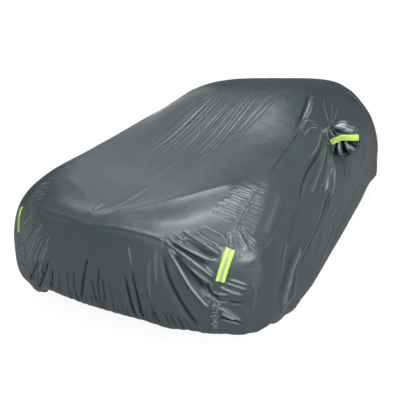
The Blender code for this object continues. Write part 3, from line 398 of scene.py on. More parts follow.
def ease(share):
    """1 at 0, falling smoothly to 0 at 1."""
    share = np.clip(share, 0.0, 1.0)
    return (1 - share) ** 2 * (1 + 2 * share)


def unit(vectors):
    return vectors / np.linalg.norm(vectors, axis=-1, keepdims=True)


MIDDLE = np.array([(0.0, s.mid_y, s.mid_z) for s in SECTIONS])
QUARTER = np.array([(s.quarter_x, s.quarter_y, s.quarter_z) for s in SECTIONS])
SEAM = np.array([(s.seam_x, s.seam_y, s.seam_z) for s in SECTIONS])
WAIST = np.array([SEAM[3]] + [s.waist for s in SIDES] + [SEAM[-4]])
HEM = np.array([SEAM[1]] + [s.hem for s in SIDES] + [SEAM[-2]])


def section_places():
    """How far along the cover each section lies."""
    legs = (run(MIDDLE) + run(SEAM)) / 2
    legs[FRONT:REAR] = (run(MIDDLE)[FRONT:REAR] + run(SEAM)[FRONT:REAR] + run(WAIST) + run(HEM)) / 4
    return np.concatenate([[0.0], np.cumsum(legs)])


ALONG = section_places()
SEAM_LINE = spline(ALONG, SEAM)


def places(knots, counts):
    """Evenly spaced places between each knot and the next, with the last knot."""
    parts = [np.linspace(a, b, n, endpoint=False) for a, b, n in zip(knots, knots[1:], counts)]
    return np.concatenate(parts + [[knots[-1]]])


def half_across(inner, outer):
    """The top panel's columns from its middle, at 0, to a seam, at 1."""
    crowded = 1 - (1 - np.linspace(0, 1, outer + 1)) ** CROWDING
    even = np.linspace(0, QUARTER_AT, inner, endpoint=False)
    return np.concatenate([even, QUARTER_AT + (1 - QUARTER_AT) * crowded])


def across():
    """The top panel's columns, from -1 at the right seam to 1 at the left."""
    right, left = half_across(RIGHT_INNER, RIGHT_OUTER), half_across(LEFT_INNER, LEFT_OUTER)
    return np.concatenate([-right[:0:-1], left])


def top_net():
    """The smooth top panel, as points[row, column], with the places of its rows."""
    rows = places(ALONG, [s.rows for s in SECTIONS[:-1]])
    net = np.stack([SEAM * FLIP, QUARTER * FLIP, MIDDLE, QUARTER, SEAM], axis=1)
    rails = spline(ALONG, net)(rows)
    knots = (-1.0, -QUARTER_AT, 0.0, QUARTER_AT, 1.0)
    return np.swapaxes(spline(knots, np.swapaxes(rails, 0, 1))(across()), 0, 1), rows


def side_net(column_counts, step_counts):
    """The smooth left side panel, as points[column, step], with the seam places round its upper edges."""
    columns = places(ALONG[FRONT : REAR + 1], column_counts)
    steps = places(DOWN, step_counts)
    inner = [np.array([SEAM[FRONT + 1 + k], *s[1:]]) for k, s in enumerate(SIDES)]
    rails = spline(ALONG[FRONT : REAR + 1], np.array([SEAM[FRONT::-1]] + inner + [SEAM[REAR:]]))(columns)
    net = np.swapaxes(spline(DOWN, np.swapaxes(rails, 0, 1))(steps), 0, 1)
    front_edge, rear_edge = np.interp(steps, DOWN, ALONG[FRONT::-1]), np.interp(steps, DOWN, ALONG[REAR:])
    share = (columns - columns[0]) / (columns[-1] - columns[0])
    net += (SEAM_LINE(columns) - net[:, 0])[:, None] * ease(steps / 0.5)[None, :, None]
    net += (SEAM_LINE(front_edge) - net[0])[None] * ease(share / 0.25)[:, None, None]
    net += (SEAM_LINE(rear_edge) - net[-1])[None] * ease((1 - share) / 0.25)[:, None, None]
    return net, np.concatenate([front_edge[::-1], columns[1:-1], rear_edge])


def border(shape):
    """The indices (column, step) round a side panel's three upper edges, from the front hem."""
    columns, steps = shape
    front = [(0, j) for j in range(steps - 1, -1, -1)]
    top = [(i, 0) for i in range(1, columns - 1)]
    return tuple(np.transpose(front + top + [(columns - 1, j) for j in range(steps)]))


def dip_hem(net):
    """Lets the hem down, or lifts it, at the dips."""
    x, y = net[..., 0].copy(), net[..., 1].copy()
    rise = ease((net[..., 2] - 0.27) / DIP_REACH)
    at_front = ease((y + 1.85) / 0.25)
    at_side = ease((0.84 - np.abs(x)) / 0.12) * (y < 0.0)
    for dips, where, share in ((FRONT_DIPS, x, at_front), (SIDE_DIPS, y, at_side)):
        for dip in dips:
            net[..., 2] -= dip.drop * rise * share * np.exp(-(((where - dip.place) / dip.width) ** 2))


def facing(net):
    """Outward normals of a net whose rows run to the rear and whose columns run down the left."""
    return unit(np.cross(np.gradient(net, axis=1), np.gradient(net, axis=0)))


class Panel:
    """A net of cloth: its points, its outward normals, and the length run along its rows and columns."""

    def __init__(self, name, net, out):
        self.name, self.net, self.out = name, net, out
        self.shape = net.shape[:2]
        over = np.linalg.norm(np.diff(net, axis=1), axis=2)
        along = np.linalg.norm(np.diff(net, axis=0), axis=2).mean(axis=1)
        self.over = np.concatenate([np.zeros((len(net), 1)), np.cumsum(over, axis=1)], axis=1)
        self.along = np.concatenate([[0.0], np.cumsum(along)])[:, None] + np.zeros(self.shape)


class Seam:
    """One long seam: fine points along it, its way, the normal that both panels share, and its run."""

    def __init__(self, top_out, rows, side, side_out, side_places, flip):
        side_out = side_out.copy()
        side_out[0, 0], side_out[-1, 0] = side_out[1, 1], side_out[-2, 1]
        ring = side_out[border(side.shape[:2])]
        fine = np.linspace(0.0, ALONG[-1], SEAM_POINTS)
        mixed = [
            np.interp(fine, rows, top_out[:, k]) + np.interp(fine, side_places, ring[:, k]) for k in range(3)
        ]
        self.points = SEAM_LINE(fine) * flip
        self.way = unit(np.gradient(self.points, axis=0))
        out = np.stack(mixed, axis=1) * flip
        self.out = unit(out - self.way * (out * self.way).sum(1, keepdims=True))
        self.place = np.concatenate([[0.0], np.cumsum(run(self.points))])

    def nearest(self, points):
        """For each point: its place along the seam, its distance from it and the shared normal there."""
        tree = KDTree(len(self.points))
        for i, point in enumerate(self.points):
            tree.insert(point, i)
        tree.balance()
        i = np.array([tree.find(point)[1] for point in points])
        off = points - self.points[i]
        step = (off * self.way[i]).sum(1)
        gap = np.linalg.norm(off - step[:, None] * self.way[i], axis=1)
        return self.place[i] + step, gap, self.out[i]


class Cloth:
    """Points of cloth with their outward ways, on which folds are raised as a height, and as a crease value
    that paints shade and highlight on narrow folds.
    """

    def __init__(self, points, out, hidden=None):
        self.points, self.out, self.hidden = points, out, hidden or {}
        self.height, self.crease = np.zeros(len(points)), np.zeros(len(points))
        self.views = {}

    def view(self, name):
        """The search tree, the axes and the axis across them of the view that a path is drawn in."""
        axes, across, sign = VIEWS[name]
        if name not in self.views:
            seen = self.out[:, across] * sign > LEAST_FACING
            if name in self.hidden:
                seen &= ~self.hidden[name]
            index = np.where(seen)[0]
            tree = KDTree(len(index))
            for i in index:
                tree.insert((self.points[i, axes[0]], self.points[i, axes[1]], 0.0), int(i))
            tree.balance()
            self.views[name] = tree
        return self.views[name], axes, across

    def lay(self, view, path):
        """A smooth path of plane points laid on the cloth."""
        tree, axes, across = self.view(view)
        path = np.asarray(path, float)
        length = np.concatenate([[0.0], np.cumsum(run(path))])
        count = max(3, int(length[-1] / PATH_STEP))
        laid = []
        for a, b in spline(length, path)(np.linspace(0.0, length[-1], count)):
            i = tree.find((a, b, 0.0))[1]
            near, out = self.points[i], self.out[i]
            point = np.zeros(3)
            point[list(axes)] = a, b
            slide = (a - near[axes[0]]) * out[axes[0]] + (b - near[axes[1]]) * out[axes[1]]
            point[across] = near[across] - slide / out[across]
            laid.append(point)
        return np.array(laid)

    def raise_fold(self, fold):
        """Adds one fold to the height."""
        path = self.lay(fold.view, fold.path)
        reach = fold.width * max(1.0, fold.flare) * FOLD_REACH
        inside = np.all((self.points > path.min(0) - reach) & (self.points < path.max(0) + reach), axis=1)
        index = np.where(inside)[0]
        points, legs = self.points[index], run(path)
        start = np.concatenate([[0.0], np.cumsum(legs)])
        best, place, turn = np.full(len(index), np.inf), np.zeros(len(index)), np.zeros(len(index))
        for i, leg in enumerate(legs):
            way = (path[i + 1] - path[i]) / leg
            off = points - path[i]
            done = np.clip(off @ way, 0.0, leg)
            off -= done[:, None] * way
            gap = np.linalg.norm(off, axis=1)
            closer = gap < best
            hand = (np.cross(way, off) * self.out[index]).sum(1)
            best, place = np.where(closer, gap, best), np.where(closer, start[i] + done, place)
            turn = np.where(closer, np.sign(hand), turn)
        share = place / start[-1]
        width = fold.width * (1 + (fold.flare - 1) * share)
        ends = (1 - ease(share / fold.near)) * (1 - ease((1 - share) / fold.far))
        shape = ends * FORMS[fold.form](best / width, turn)
        self.height[index] += fold.height * shape
        # A narrow fold also adds to the crease value, which the cloth paints as highlight where high and as
        # shade where low: high on a ridge and low beside it, low in a trough and high beside it.
        if fold.form != "step" and fold.width <= NARROW:
            beside = ends * np.exp(-((best / (BESIDE_REACH * width)) ** 2))
            steep = np.clip(fold.height / fold.width / STEEP, -1.0, 1.0)
            self.crease[index] += steep * (CREASE_SHARE * shape - BESIDE_SHARE * beside)

    def raise_fan(self, fan):
        """Adds the folds of a fan."""
        chance = np.random.default_rng(fan.seed)
        for i in range(fan.count):
            share = (i + 0.5 + chance.uniform(-FAN_SHIFT, FAN_SHIFT)) / fan.count
            near_end, far_end = on_line(fan.start, share), on_line(fan.end, share)
            first = near_end + (far_end - near_end) * chance.uniform(0.0, fan.cut)
            last = near_end + (far_end - near_end) * chance.uniform(1.0 - fan.cut, 1.0)
            aside = np.array((-(last - first)[1], (last - first)[0])) * chance.uniform(-FAN_BEND, FAN_BEND)
            path = (first, (first + last) / 2 + aside, last)
            height = fan.height * chance.uniform(*FAN_HEIGHTS)
            width = fan.width * chance.uniform(*FAN_WIDTHS)
            self.raise_fold(Fold(fan.name, fan.view, path, width, height, fan.flare, fan.form, *FAN_ENDS))


class Skin(Cloth):
    """All the panels' points as one list, so that a fold runs on over a seam."""

    def __init__(self, panels, seams):
        points = np.concatenate([p.net.reshape(-1, 3) for p in panels])
        out = np.concatenate([p.out.reshape(-1, 3) for p in panels])
        self.panels = panels
        found = [seam.nearest(points) for seam in seams]
        closer = found[1][1] < found[0][1]
        self.place = np.where(closer, found[1][0], found[0][0])
        self.gap = np.where(closer, found[1][1], found[0][1])
        self.side = np.where(closer, -1.0, 1.0)
        shared = np.where(closer[:, None], found[1][2], found[0][2])
        weight = ease(self.gap / SHARED_REACH)[:, None]
        hidden = {"front": points[:, 1] > FRONT_SEEN, "back": points[:, 1] < BACK_SEEN}
        super().__init__(points, unit(out * (1 - weight) + shared * weight), hidden)


LEAST_FACING = 0.22  # how squarely cloth must face a view for a path to be laid on it
FRONT_SEEN, BACK_SEEN = -1.3, 1.3  # the views from the front and from the back end at these y
PATH_STEP = 0.012
FOLD_REACH = 3.4  # how many widths a fold is worked out to
NARROW = 0.018  # folds up to this width get painted highlight on the crest and painted shade in the trough
STEEP = 0.65  # height against width from which a fold shows fully so
CREASE_SHARE = 1.5  # on the fold itself
BESIDE_SHARE, BESIDE_REACH = 0.6, 2.1  # the other way beside the fold, and its width against the fold's
# How much the folds of a fan differ: in place, in bend, in height and in width, and how their ends fade.
FAN_SHIFT, FAN_BEND, FAN_HEIGHTS, FAN_WIDTHS, FAN_ENDS = 0.3, 0.02, (0.5, 1.3), (0.75, 1.3), (0.15, 0.30)
SEAM_POINTS = 1100
SHARED_REACH = 0.05  # how far from a seam the two panels share their outward way
VIEWS = {
    "front": ((0, 2), 1, -1),
    "back": ((0, 2), 1, 1),
    "top": ((0, 1), 2, 1),
    "side": ((1, 2), 0, 1),
    "right": ((1, 2), 0, -1),
}
FORMS = {
    "round": lambda gap, turn: np.exp(-(gap**2)),
    "keen": lambda gap, turn: np.exp(-(gap**1.15)),
    "step": lambda gap, turn: 0.5 * (1 + np.tanh(gap * turn)) * np.exp(-((gap / 4) ** 2)),
}


def on_line(line, share):
    """The point at a share of the way along a line of points."""
    line = np.asarray(line, float)
    length = np.concatenate([[0.0], np.cumsum(run(line))])
    return np.array([np.interp(share * length[-1], length, line[:, k]) for k in range(line.shape[1])])


def ripple(place, wave, seed):
    """An uneven wave along a place, between -1 and 1."""
    chance = np.random.default_rng(seed)
    phase = chance.uniform(0, 2 * math.pi, 4)
    drift = 0.9 * np.sin(place * 2 * math.pi / (wave * 5.3) + phase[0])
    drift += 0.6 * np.sin(place * 2 * math.pi / (wave * 3.1) + phase[1])
    strength = 0.65 + 0.35 * np.sin(place * 2 * math.pi / (wave * 4.1) + phase[2])
    return strength * np.sin(place * 2 * math.pi / wave + drift + phase[3])


def slow_swell(points, wave, seed):
    """A soft uneven swell of the cloth, between about -1 and 1."""
    chance = np.random.default_rng(seed)
    total = np.zeros(len(points))
    for _ in range(6):
        way = unit(chance.normal(size=3)) * 2 * math.pi / (wave * chance.uniform(0.7, 1.5))
        total += np.sin(points @ way + chance.uniform(0, 2 * math.pi)) / 3
    return total


def pucker_seams(skin):
    """Draws the cloth in along the long seams."""
    gathered = np.zeros(len(skin.points))
    for k, row in enumerate(PUCKERS):
        share = (skin.place - row.start) / (row.end - row.start)
        strength = (1 - ease(share / 0.15)) * (1 - ease((1 - share) / 0.25)) * ((share > 0) & (share < 1))
        gathered = np.maximum(gathered, strength * min(1.0, row.height / GATHERED_AT))
        wave = ripple(skin.place + skin.side * 0.3, row.wave, 50 + k)
        fade = np.exp(-skin.gap / row.reach)
        skin.height += row.height * wave * strength * fade * (1 - 0.5 * ease(skin.gap / 0.01))
    skin.height -= GROOVE_DEPTH * (1 - 0.8 * gathered) * np.exp(-((skin.gap / GROOVE_WIDTH) ** 2))
    skin.height += WELT_HEIGHT * np.exp(-(((skin.gap - WELT_AT) / GROOVE_WIDTH) ** 2))


def hem_gap(panel):
    """How far each point of a panel is from its hem, and its run along it."""
    if panel.name == "top":
        along = panel.along
        gap = np.minimum(along, along.max() - along)
        return gap, panel.net[..., 0]
    return panel.over[:, -1:] - panel.over, panel.net[..., 1] + 5.0


def gather_hems(skin):
    """Gathers the cloth along its elastic hem."""
    gaps, runs = [], []
    for panel in skin.panels:
        gap, place = hem_gap(panel)
        gaps.append((gap + 0 * place).ravel())
        runs.append(place.ravel())
    gap, place = np.concatenate(gaps), np.concatenate(runs)
    skin.hem = gap
    fine = FINE_GATHER_SHARE * ripple(place, GATHER_WAVE * FINE_GATHER_WAVE, 72)
    wave = ripple(place, GATHER_WAVE, 71) + fine * ease(gap / FINE_GATHERS_HIGH)
    skin.height += GATHER_HEIGHT * wave * ease(gap / GATHERS_HIGH)
    skin.height -= ELASTIC_DEPTH * np.exp(-(((gap - ELASTIC_AT) / ELASTIC_WIDTH) ** 2))


def dress(panels, seams):
    """Raises every fold on the panels and returns them as a skin, with the finished points."""
    skin = Skin(panels, seams)
    broad, small = (height * slow_swell(skin.points, wave, seed) for height, wave, seed in SWELLS)
    skin.height += broad + small
    for fan in FANS:
        skin.raise_fan(fan)
    for fold in FOLDS:
        skin.raise_fold(fold)
    gather_hems(skin)
    skin.height *= 1 - UNDER_TAPE * tape_ground(skin)
    pucker_seams(skin)
    skin.points += skin.out * skin.height[:, None]
    first = 0
    for panel in panels:
        count = panel.shape[0] * panel.shape[1]
        part = slice(first, first + count)
        panel.net = skin.points[part].reshape(*panel.shape, 3).copy()
        panel.seam_place, panel.seam_gap = skin.place[part], skin.gap[part]
        panel.hem, panel.crease = skin.hem[part], skin.crease[part]
        first += count
        if panel.name != "top":
            tuck(panel)


def tuck(panel):
    """Runs a side panel's three seam edges a little way on under the top panel."""
    net, out = panel.net, panel.out
    for edge, next_row in ((np.s_[:, 0], np.s_[:, 1]), (np.s_[0], np.s_[1]), (np.s_[-1], np.s_[-2])):
        on = net[edge] - net[next_row]
        on = on / np.maximum(np.linalg.norm(on, axis=1, keepdims=True), 1e-6)
        net[edge] += on * TUCK_ON - out[edge] * TUCK_IN


# ---------------------------------------------------------------- the tapes and the pockets

TAPE_FOOT, TAPE_HEAD = 0.368, 0.533  # the front tape's ends along the seam, from the front hem
FRONT_TAPE_WIDTH, POCKET_TAPE_WIDTH = 0.044, 0.040
TAPE_LIFT = 0.0012
POCKET_TAPE_LIFT = 0.004  # more for a pocket tape, over the pocket's smooth form


def tape_ground(skin):
    """1 under a front tape, where the cloth lies flat, and 0 beside it."""
    along = ease((TAPE_FOOT + 0.004 - skin.place) / 0.010) * ease((skin.place - TAPE_HEAD + 0.004) / 0.010)
    return along * ease((skin.gap - FRONT_TAPE_WIDTH / 2 + 0.006) / 0.012)


# The oval cut-out for a mirror in a side panel, as seen from the side: its middle and its half sizes.
CUT_Y, CUT_Z = -0.320, 1.000
CUT_HALF_WIDTH, CUT_HALF_HEIGHT = 0.100, 0.100
# One row for each ring of a mirror pocket: how far out it stands, its size against the cut-out's, and
# how far back and up its middle lies.
Ring = namedtuple("Ring", "name out width height back rise")
LEFT_POCKET = (
    Ring("sewn edge", 0.000, 1.00, 1.00, 0.000, 0.000),
    Ring("neck", 0.025, 1.03, 1.06, 0.000, 0.004),
    Ring("shoulder", 0.062, 1.14, 1.24, 0.002, 0.012),
    Ring("belly", 0.112, 1.18, 1.28, 0.006, 0.022),
    Ring("far belly", 0.160, 1.14, 1.14, 0.010, 0.026),
    Ring("end", 0.198, 0.94, 0.86, 0.014, 0.022),
    Ring("end cap", 0.216, 0.50, 0.46, 0.016, 0.018),
    Ring("point", 0.221, 0.00, 0.00, 0.016, 0.018),
)
RIGHT_POCKET = (
    Ring("sewn edge", 0.000, 1.00, 1.00, 0.000, 0.000),
    Ring("neck", 0.022, 1.02, 1.00, 0.000, -0.004),
    Ring("shoulder", 0.050, 1.10, 1.06, 0.002, -0.014),
    Ring("belly", 0.086, 1.14, 1.10, 0.004, -0.024),
    Ring("far belly", 0.122, 1.08, 1.02, 0.006, -0.032),
    Ring("end", 0.148, 0.84, 0.78, 0.008, -0.037),
    Ring("end cap", 0.160, 0.42, 0.40, 0.009, -0.038),
    Ring("point", 0.163, 0.00, 0.00, 0.009, -0.038),
)
POCKET_RINGS, POCKET_ROUND = 90, 200
PLEATS, PLEAT_DEPTH = 9, 0.045
POCKET_SWELL, POCKET_SWELL_WAVE = 0.0030, 0.055
POCKET_MAP = (0.65, 0.30)  # metres of cloth round a pocket and from its edge to its point, for the weave
INSIDE = 0.2  # metres from a seam or a hem beyond which the cloth needs no closer measure
POCKET_FOLDS = (
    Fold("drawn in at the pinch", "front", ((0.795, 1.112), (0.825, 1.098)), 0.024, -0.030),
    Fold("dark, front edge", "front", ((0.812, 1.092), (0.814, 1.060), (0.822, 1.025)), 0.006, -0.018),
    Fold("dark, from the pinch", "front", ((0.826, 1.098), (0.866, 1.060)), 0.006, -0.022, 1.4),
    Fold("dark, along the tape", "front", ((0.840, 1.100), (0.915, 1.080), (0.985, 1.080)), 0.005, -0.016,
         1.2),
    Fold("light, over it", "front", ((0.835, 1.108), (0.920, 1.098), (1.000, 1.100)), 0.007, 0.006, 1.6),
    Fold("dark, under the tape", "front", ((0.884, 1.040), (0.868, 0.960), (0.862, 0.900)), 0.008, -0.034),
    Fold("darkest, under the tape", "front", ((0.905, 1.045), (0.928, 0.966), (0.944, 0.895)), 0.010,
         -0.048, 1.8),
    Fold("between them", "front", ((0.894, 1.030), (0.900, 0.960), (0.900, 0.900)), 0.008, 0.006, 1.6),
    Fold("dark, far end", "front", ((0.945, 1.024), (1.026, 0.968)), 0.008, -0.032, 1.6),
    Fold("hollow, far end", "front", ((0.960, 1.018), (1.030, 1.006)), 0.012, -0.014),
    Fold("light, under the far end", "front", ((0.930, 1.020), (1.000, 0.946)), 0.012, 0.007, 1.4),
)
POCKET_FANS = (
    Fan("crumples on top", "front", ((0.830, 1.112), (0.840, 1.104)), ((0.925, 1.150), (1.010, 1.100)), 9,
        0.006, 0.0085, 1.8, 43),
    Fan("crumples across the top", "front", ((0.890, 1.120), (0.960, 1.125)),
        ((0.920, 1.150), (1.000, 1.105)), 5, 0.007, 0.0075, 1.0, 47),
    Fan("hanging", "front", ((0.840, 1.000), (0.990, 1.000)), ((0.850, 0.900), (0.990, 0.950)), 7, 0.008,
        0.0075, 1.3, 53),
)
# The middle lines of the pocket tapes as seen from the front, (x, z), both drawn on the left.
LEFT_TAPE_LINE = ((0.838, 1.008), (0.875, 1.030), (0.912, 1.049), (0.960, 1.050), (1.016, 1.049))
RIGHT_TAPE_LINE = ((0.835, 0.985), (0.900, 0.990), (0.962, 0.975))


class Surface:
    """A finished net, to be met by rays."""

    def __init__(self, *nets):
        points, faces, first = [], [], 0
        for net in nets:
            points.append(net.reshape(-1, 3))
            faces += [tuple(i + first for i in face) for face in net_faces(net.shape[:2])]
            first += len(points[-1])
        self.tree = BVHTree.FromPolygons(np.concatenate(points).tolist(), faces)

    def meet(self, point, way, back=0.15):
        """Where a ray from behind the point along the way first meets the net, or the point itself."""
        way = Vector(way)
        found = self.tree.ray_cast(Vector(point) - way * back, way, 2 * back)[0]
        return np.array(found) if found else np.array(point)


def pocket_net(table, panel_surface):
    """A smooth mirror pocket on the left, as points[ring, place round it], closed round the last column."""
    values = np.array([ring[1:] for ring in table])
    wanted = np.linspace(0, len(table) - 1, POCKET_RINGS)
    out, width, height, back, rise = spline(np.arange(len(table)), values)(wanted).T
    turn = np.linspace(0, 2 * math.pi, POCKET_ROUND + 1)
    deepest = np.sin(math.pi * np.clip(out / out[-1], 0, 1))[:, None]
    pleat = 1 + PLEAT_DEPTH * np.cos(PLEATS * turn)[None, :] * deepest
    y = CUT_Y + back[:, None] + CUT_HALF_WIDTH * np.maximum(width, 0)[:, None] * np.cos(turn) * pleat
    z = CUT_Z + rise[:, None] + CUT_HALF_HEIGHT * np.maximum(height, 0)[:, None] * np.sin(turn) * pleat
    edge = [panel_surface.meet((0.85, a, b), (-1.0, 0.0, 0.0))[0] for a, b in zip(y[0], z[0])]
    edge = np.array(edge)
    x = edge.mean() + out[:, None] + (edge - edge.mean())[None, :] * ease(out / out[-1])[:, None]
    return np.stack([x + 0 * y, y, z], axis=2)


def make_pocket(name, table, panel_surface, folds, fans, flip, material):
    """A mirror pocket: a gathered pouch, open to the inside of the cover."""
    net = pocket_net(table, panel_surface)
    wrapped = np.concatenate([net[:, -2:-1], net, net[:, 1:2]], axis=1)
    out = np.cross(np.gradient(wrapped, axis=0), np.gradient(wrapped, axis=1))[:, 1:-1]
    out[-1] = (1.0, 0.0, 0.0)
    out = unit(out)
    if out[len(out) // 2, 0, 1] < 0:
        out = -out
    out[:, -1] = out[:, 0]
    cloth = Cloth(net.reshape(-1, 3).copy(), out.reshape(-1, 3))
    for fold in folds:
        cloth.raise_fold(fold)
    for fan in fans:
        cloth.raise_fan(fan)
    cloth.height += POCKET_SWELL * slow_swell(cloth.points, POCKET_SWELL_WAVE, 63)
    smooth = Surface(net.copy())
    share = np.linspace(0, 1, POCKET_RINGS)
    fade = (1 - ease(share / 0.08))[:, None] + np.zeros(net.shape[:2])
    net = net + out * (cloth.height.reshape(net.shape[:2]) * fade)[..., None]
    grids = np.meshgrid(np.linspace(0, POCKET_MAP[0], POCKET_ROUND + 1), share * POCKET_MAP[1])
    round_it, deep = (grid.ravel() for grid in grids)
    maps = {
        "cloth": np.stack([round_it, deep], axis=1),
        "seam": np.stack([round_it, np.minimum(deep, INSIDE)], axis=1),
        "hem": np.full((len(deep), 2), INSIDE),
        # the crease value, which the cloth paints as shade in troughs and as highlight on crests
        "fold": np.stack([cloth.crease, cloth.crease], axis=1),
    }
    faces = [face[::-1] for face in closed_round(net.shape[:2])]
    points = net.reshape(-1, 3) * (FLIP if flip else 1.0)
    piece = make_mesh(name, points, faces, maps, material, flip)
    return piece, smooth


def strip_piece(name, middle, across, out, width, surface, lift, material, flip):
    """A flat tape along a line of points on the cloth, its long edges turned down to it."""
    shares = np.array([-0.51, -0.50] + list(np.linspace(-0.46, 0.46, 9)) + [0.50, 0.51])
    lifts = np.array([0.0] + [1.0] * (len(shares) - 2) + [0.0]) * TAPE_LIFT + lift
    net = np.zeros((len(middle), len(shares), 3))
    for i, (point, side, way) in enumerate(zip(middle, across, out)):
        met = np.array([surface.meet(point + side * share * width, -way) for share in shares])
        rise = (met - point) @ way
        rise = np.convolve(np.pad(rise, 2, mode="edge"), np.ones(5) / 5, mode="valid")
        net[i] = point + side * (shares * width)[:, None] + way * (rise + lifts)[:, None]
    for _ in range(2):
        net[1:-1] = (net[:-2] + 2 * net[1:-1] + net[2:]) / 4
    place = np.concatenate([[0.0], np.cumsum(run(net[:, len(shares) // 2]))])
    flat = np.stack([np.tile(shares + 0.5, len(middle)), np.repeat(place, len(shares))], axis=1)
    points = net.reshape(-1, 3) * (FLIP if flip else 1.0)
    faces = net_faces(net.shape[:2])
    first, second, _, last = (net.reshape(-1, 3)[i] for i in faces[len(faces) // 2])
    if np.cross(second - first, last - first) @ out[len(out) // 2] < 0:
        faces = [face[::-1] for face in faces]
    return make_mesh(name, points, faces, {"tape": flat}, material, flip)


def front_tape(name, seam, top, side, material, flip):
    """The tape sewn over the long seam on a front corner."""
    mirror = FLIP if flip else 1.0
    wanted = np.linspace(TAPE_FOOT, TAPE_HEAD, 40)
    middle, way, out = (
        np.stack([np.interp(wanted, seam.place, values[:, k]) for k in range(3)], axis=1) * mirror
        for values in (seam.points, seam.way, seam.out)
    )
    way, out = unit(way), unit(out)
    surface = Surface(top.net * mirror, side.net * mirror)
    return strip_piece(name, middle, np.cross(out, way), out, FRONT_TAPE_WIDTH, surface, 0.0, material, flip)


def pocket_tape(name, line, smooth, lift, material, flip):
    """The narrower tape across the front of a mirror pocket, laid along its smooth form."""
    line = np.asarray(line, float)
    length = np.concatenate([[0.0], np.cumsum(run(line))])
    wanted = np.linspace(0.0, length[-1], 44)
    x, z = np.interp(wanted, length, line[:, 0]), np.interp(wanted, length, line[:, 1])
    middle = np.array([smooth.meet((a, CUT_Y - 0.10, b), (0.0, 1.0, 0.0)) for a, b in zip(x, z)])
    way = unit(np.gradient(middle, axis=0))
    out = unit(np.cross(way, np.cross((0.0, -1.0, 0.0), way)))
    return strip_piece(name, middle, np.cross(out, way), out, POCKET_TAPE_WIDTH, smooth, lift, material, flip)


# ---------------------------------------------------------------- meshes

def make_mesh(name, points, faces, maps, material, flip=False):
    """A piece from its points and faces, with one pair of numbers a point in each named map."""
    mesh = bpy.data.meshes.new(name)
    if flip:
        faces = [face[::-1] for face in faces]
    used = sorted({i for face in faces for i in face})
    place = {old: new for new, old in enumerate(used)}
    numbered = [tuple(place[i] for i in face) for face in faces]
    mesh.from_pydata((points[used] + TO_PACKED).tolist(), [], numbered)
    loops = np.zeros(len(mesh.loops), dtype=np.int32)
    mesh.loops.foreach_get("vertex_index", loops)
    for key, values in maps.items():
        layer = mesh.uv_layers.new(name=key)
        layer.data.foreach_set("uv", np.asarray(values, dtype=np.float32)[used][loops].ravel())
    mesh.materials.append(material)
    mesh.shade_smooth()
    piece = bpy.data.objects.new(name, mesh)
    bpy.context.scene.collection.objects.link(piece)
    return piece


def net_faces(shape, keep=None):
    """The quads of a net, wound to face out, where keep says so."""
    rows, columns = shape
    index = np.arange(rows * columns).reshape(rows, columns)
    quads = np.stack([index[:-1, :-1], index[:-1, 1:], index[1:, 1:], index[1:, :-1]], axis=2)
    if keep is not None:
        quads = quads[keep]
    return [tuple(q) for q in quads.reshape(-1, 4).tolist()]


def closed_round(shape):
    """The faces of a net whose last column lies on its first, and whose last ring is one point."""
    rows, columns = shape
    last = (rows - 1) * columns
    faces = []
    for face in net_faces(shape):
        turned = [i - columns + 1 if i % columns == columns - 1 else i for i in face]
        single = [min(i, last) for i in turned]
        faces.append(tuple(dict.fromkeys(single)))
    return faces


def panel_piece(panel, material, keep=None, flip=False):
    """A panel's sheet."""
    maps = {
        "cloth": np.stack([panel.over.ravel(), panel.along.ravel()], axis=1),
        "seam": np.stack([panel.seam_place, np.minimum(panel.seam_gap, INSIDE)], axis=1),
        "hem": np.stack([panel.along.ravel() + panel.over.ravel(), panel.hem], axis=1),
        # the crease value, which the cloth paints as shade in troughs and as highlight on crests
        "fold": np.stack([panel.crease, panel.crease], axis=1),
    }
    points, faces = panel.net.reshape(-1, 3), net_faces(panel.shape, keep)
    return make_mesh(f"cloth_{panel.name}", points, faces, maps, material, flip)


# ---------------------------------------------------------------- materials


def calc(tree, operation, *values):
    """A Math node on sockets or plain numbers."""
    math_node = tree.nodes.new("ShaderNodeMath")
    math_node.operation = operation
    for socket, value in zip(math_node.inputs, values):
        feed(tree, socket, value)
    return math_node.outputs[0]


def feed(tree, socket, value):
    """Gives a socket another socket's output, or a plain value."""
    if isinstance(value, bpy.types.NodeSocket):
        tree.links.new(value, socket)
    else:
        socket.default_value = value


def texture(tree, kind, vector, **values):
    """A texture node on a vector, with its inputs given by name."""
    made = tree.nodes.new(kind)
    tree.links.new(vector, made.inputs["Vector"])
    for key, value in values.items():
        made.inputs[key.replace("_", " ")].default_value = value
    return made


def scaled(tree, vector, x, y, z):
    """A vector with each of its parts multiplied."""
    made = tree.nodes.new("ShaderNodeVectorMath")
    made.operation = "MULTIPLY"
    tree.links.new(vector, made.inputs[0])
    made.inputs[1].default_value = (x, y, z)
    return made.outputs[0]


def span(tree, value, low, high, first=0.0, last=1.0):
    """A value taken from the span low to high to the span first to last, and held there."""
    made = tree.nodes.new("ShaderNodeMapRange")
    for key, number in (("From Min", low), ("From Max", high), ("To Min", first), ("To Max", last)):
        made.inputs[key].default_value = number
    feed(tree, made.inputs["Value"], value)
    return made.outputs["Result"]


def mixed(tree, share, first, second):
    """A colour between two colours."""
    made = tree.nodes.new("ShaderNodeMix")
    made.data_type = "RGBA"
    feed(tree, made.inputs["Factor"], share)
    feed(tree, made.inputs["A"], first)
    feed(tree, made.inputs["B"], second)
    return made.outputs["Result"]


def new_group(name, inputs, outputs):
    """An empty node group: the group, the sockets that come in and the sockets that go out."""
    group = bpy.data.node_groups.new(name, "ShaderNodeTree")
    for key, kind, value in inputs:
        socket = group.interface.new_socket(name=key, in_out="INPUT", socket_type=kind)
        if value is not None:
            socket.default_value = value
    for key, kind in outputs:
        group.interface.new_socket(name=key, in_out="OUTPUT", socket_type=kind)
    return group, group.nodes.new("NodeGroupInput").outputs, group.nodes.new("NodeGroupOutput").inputs


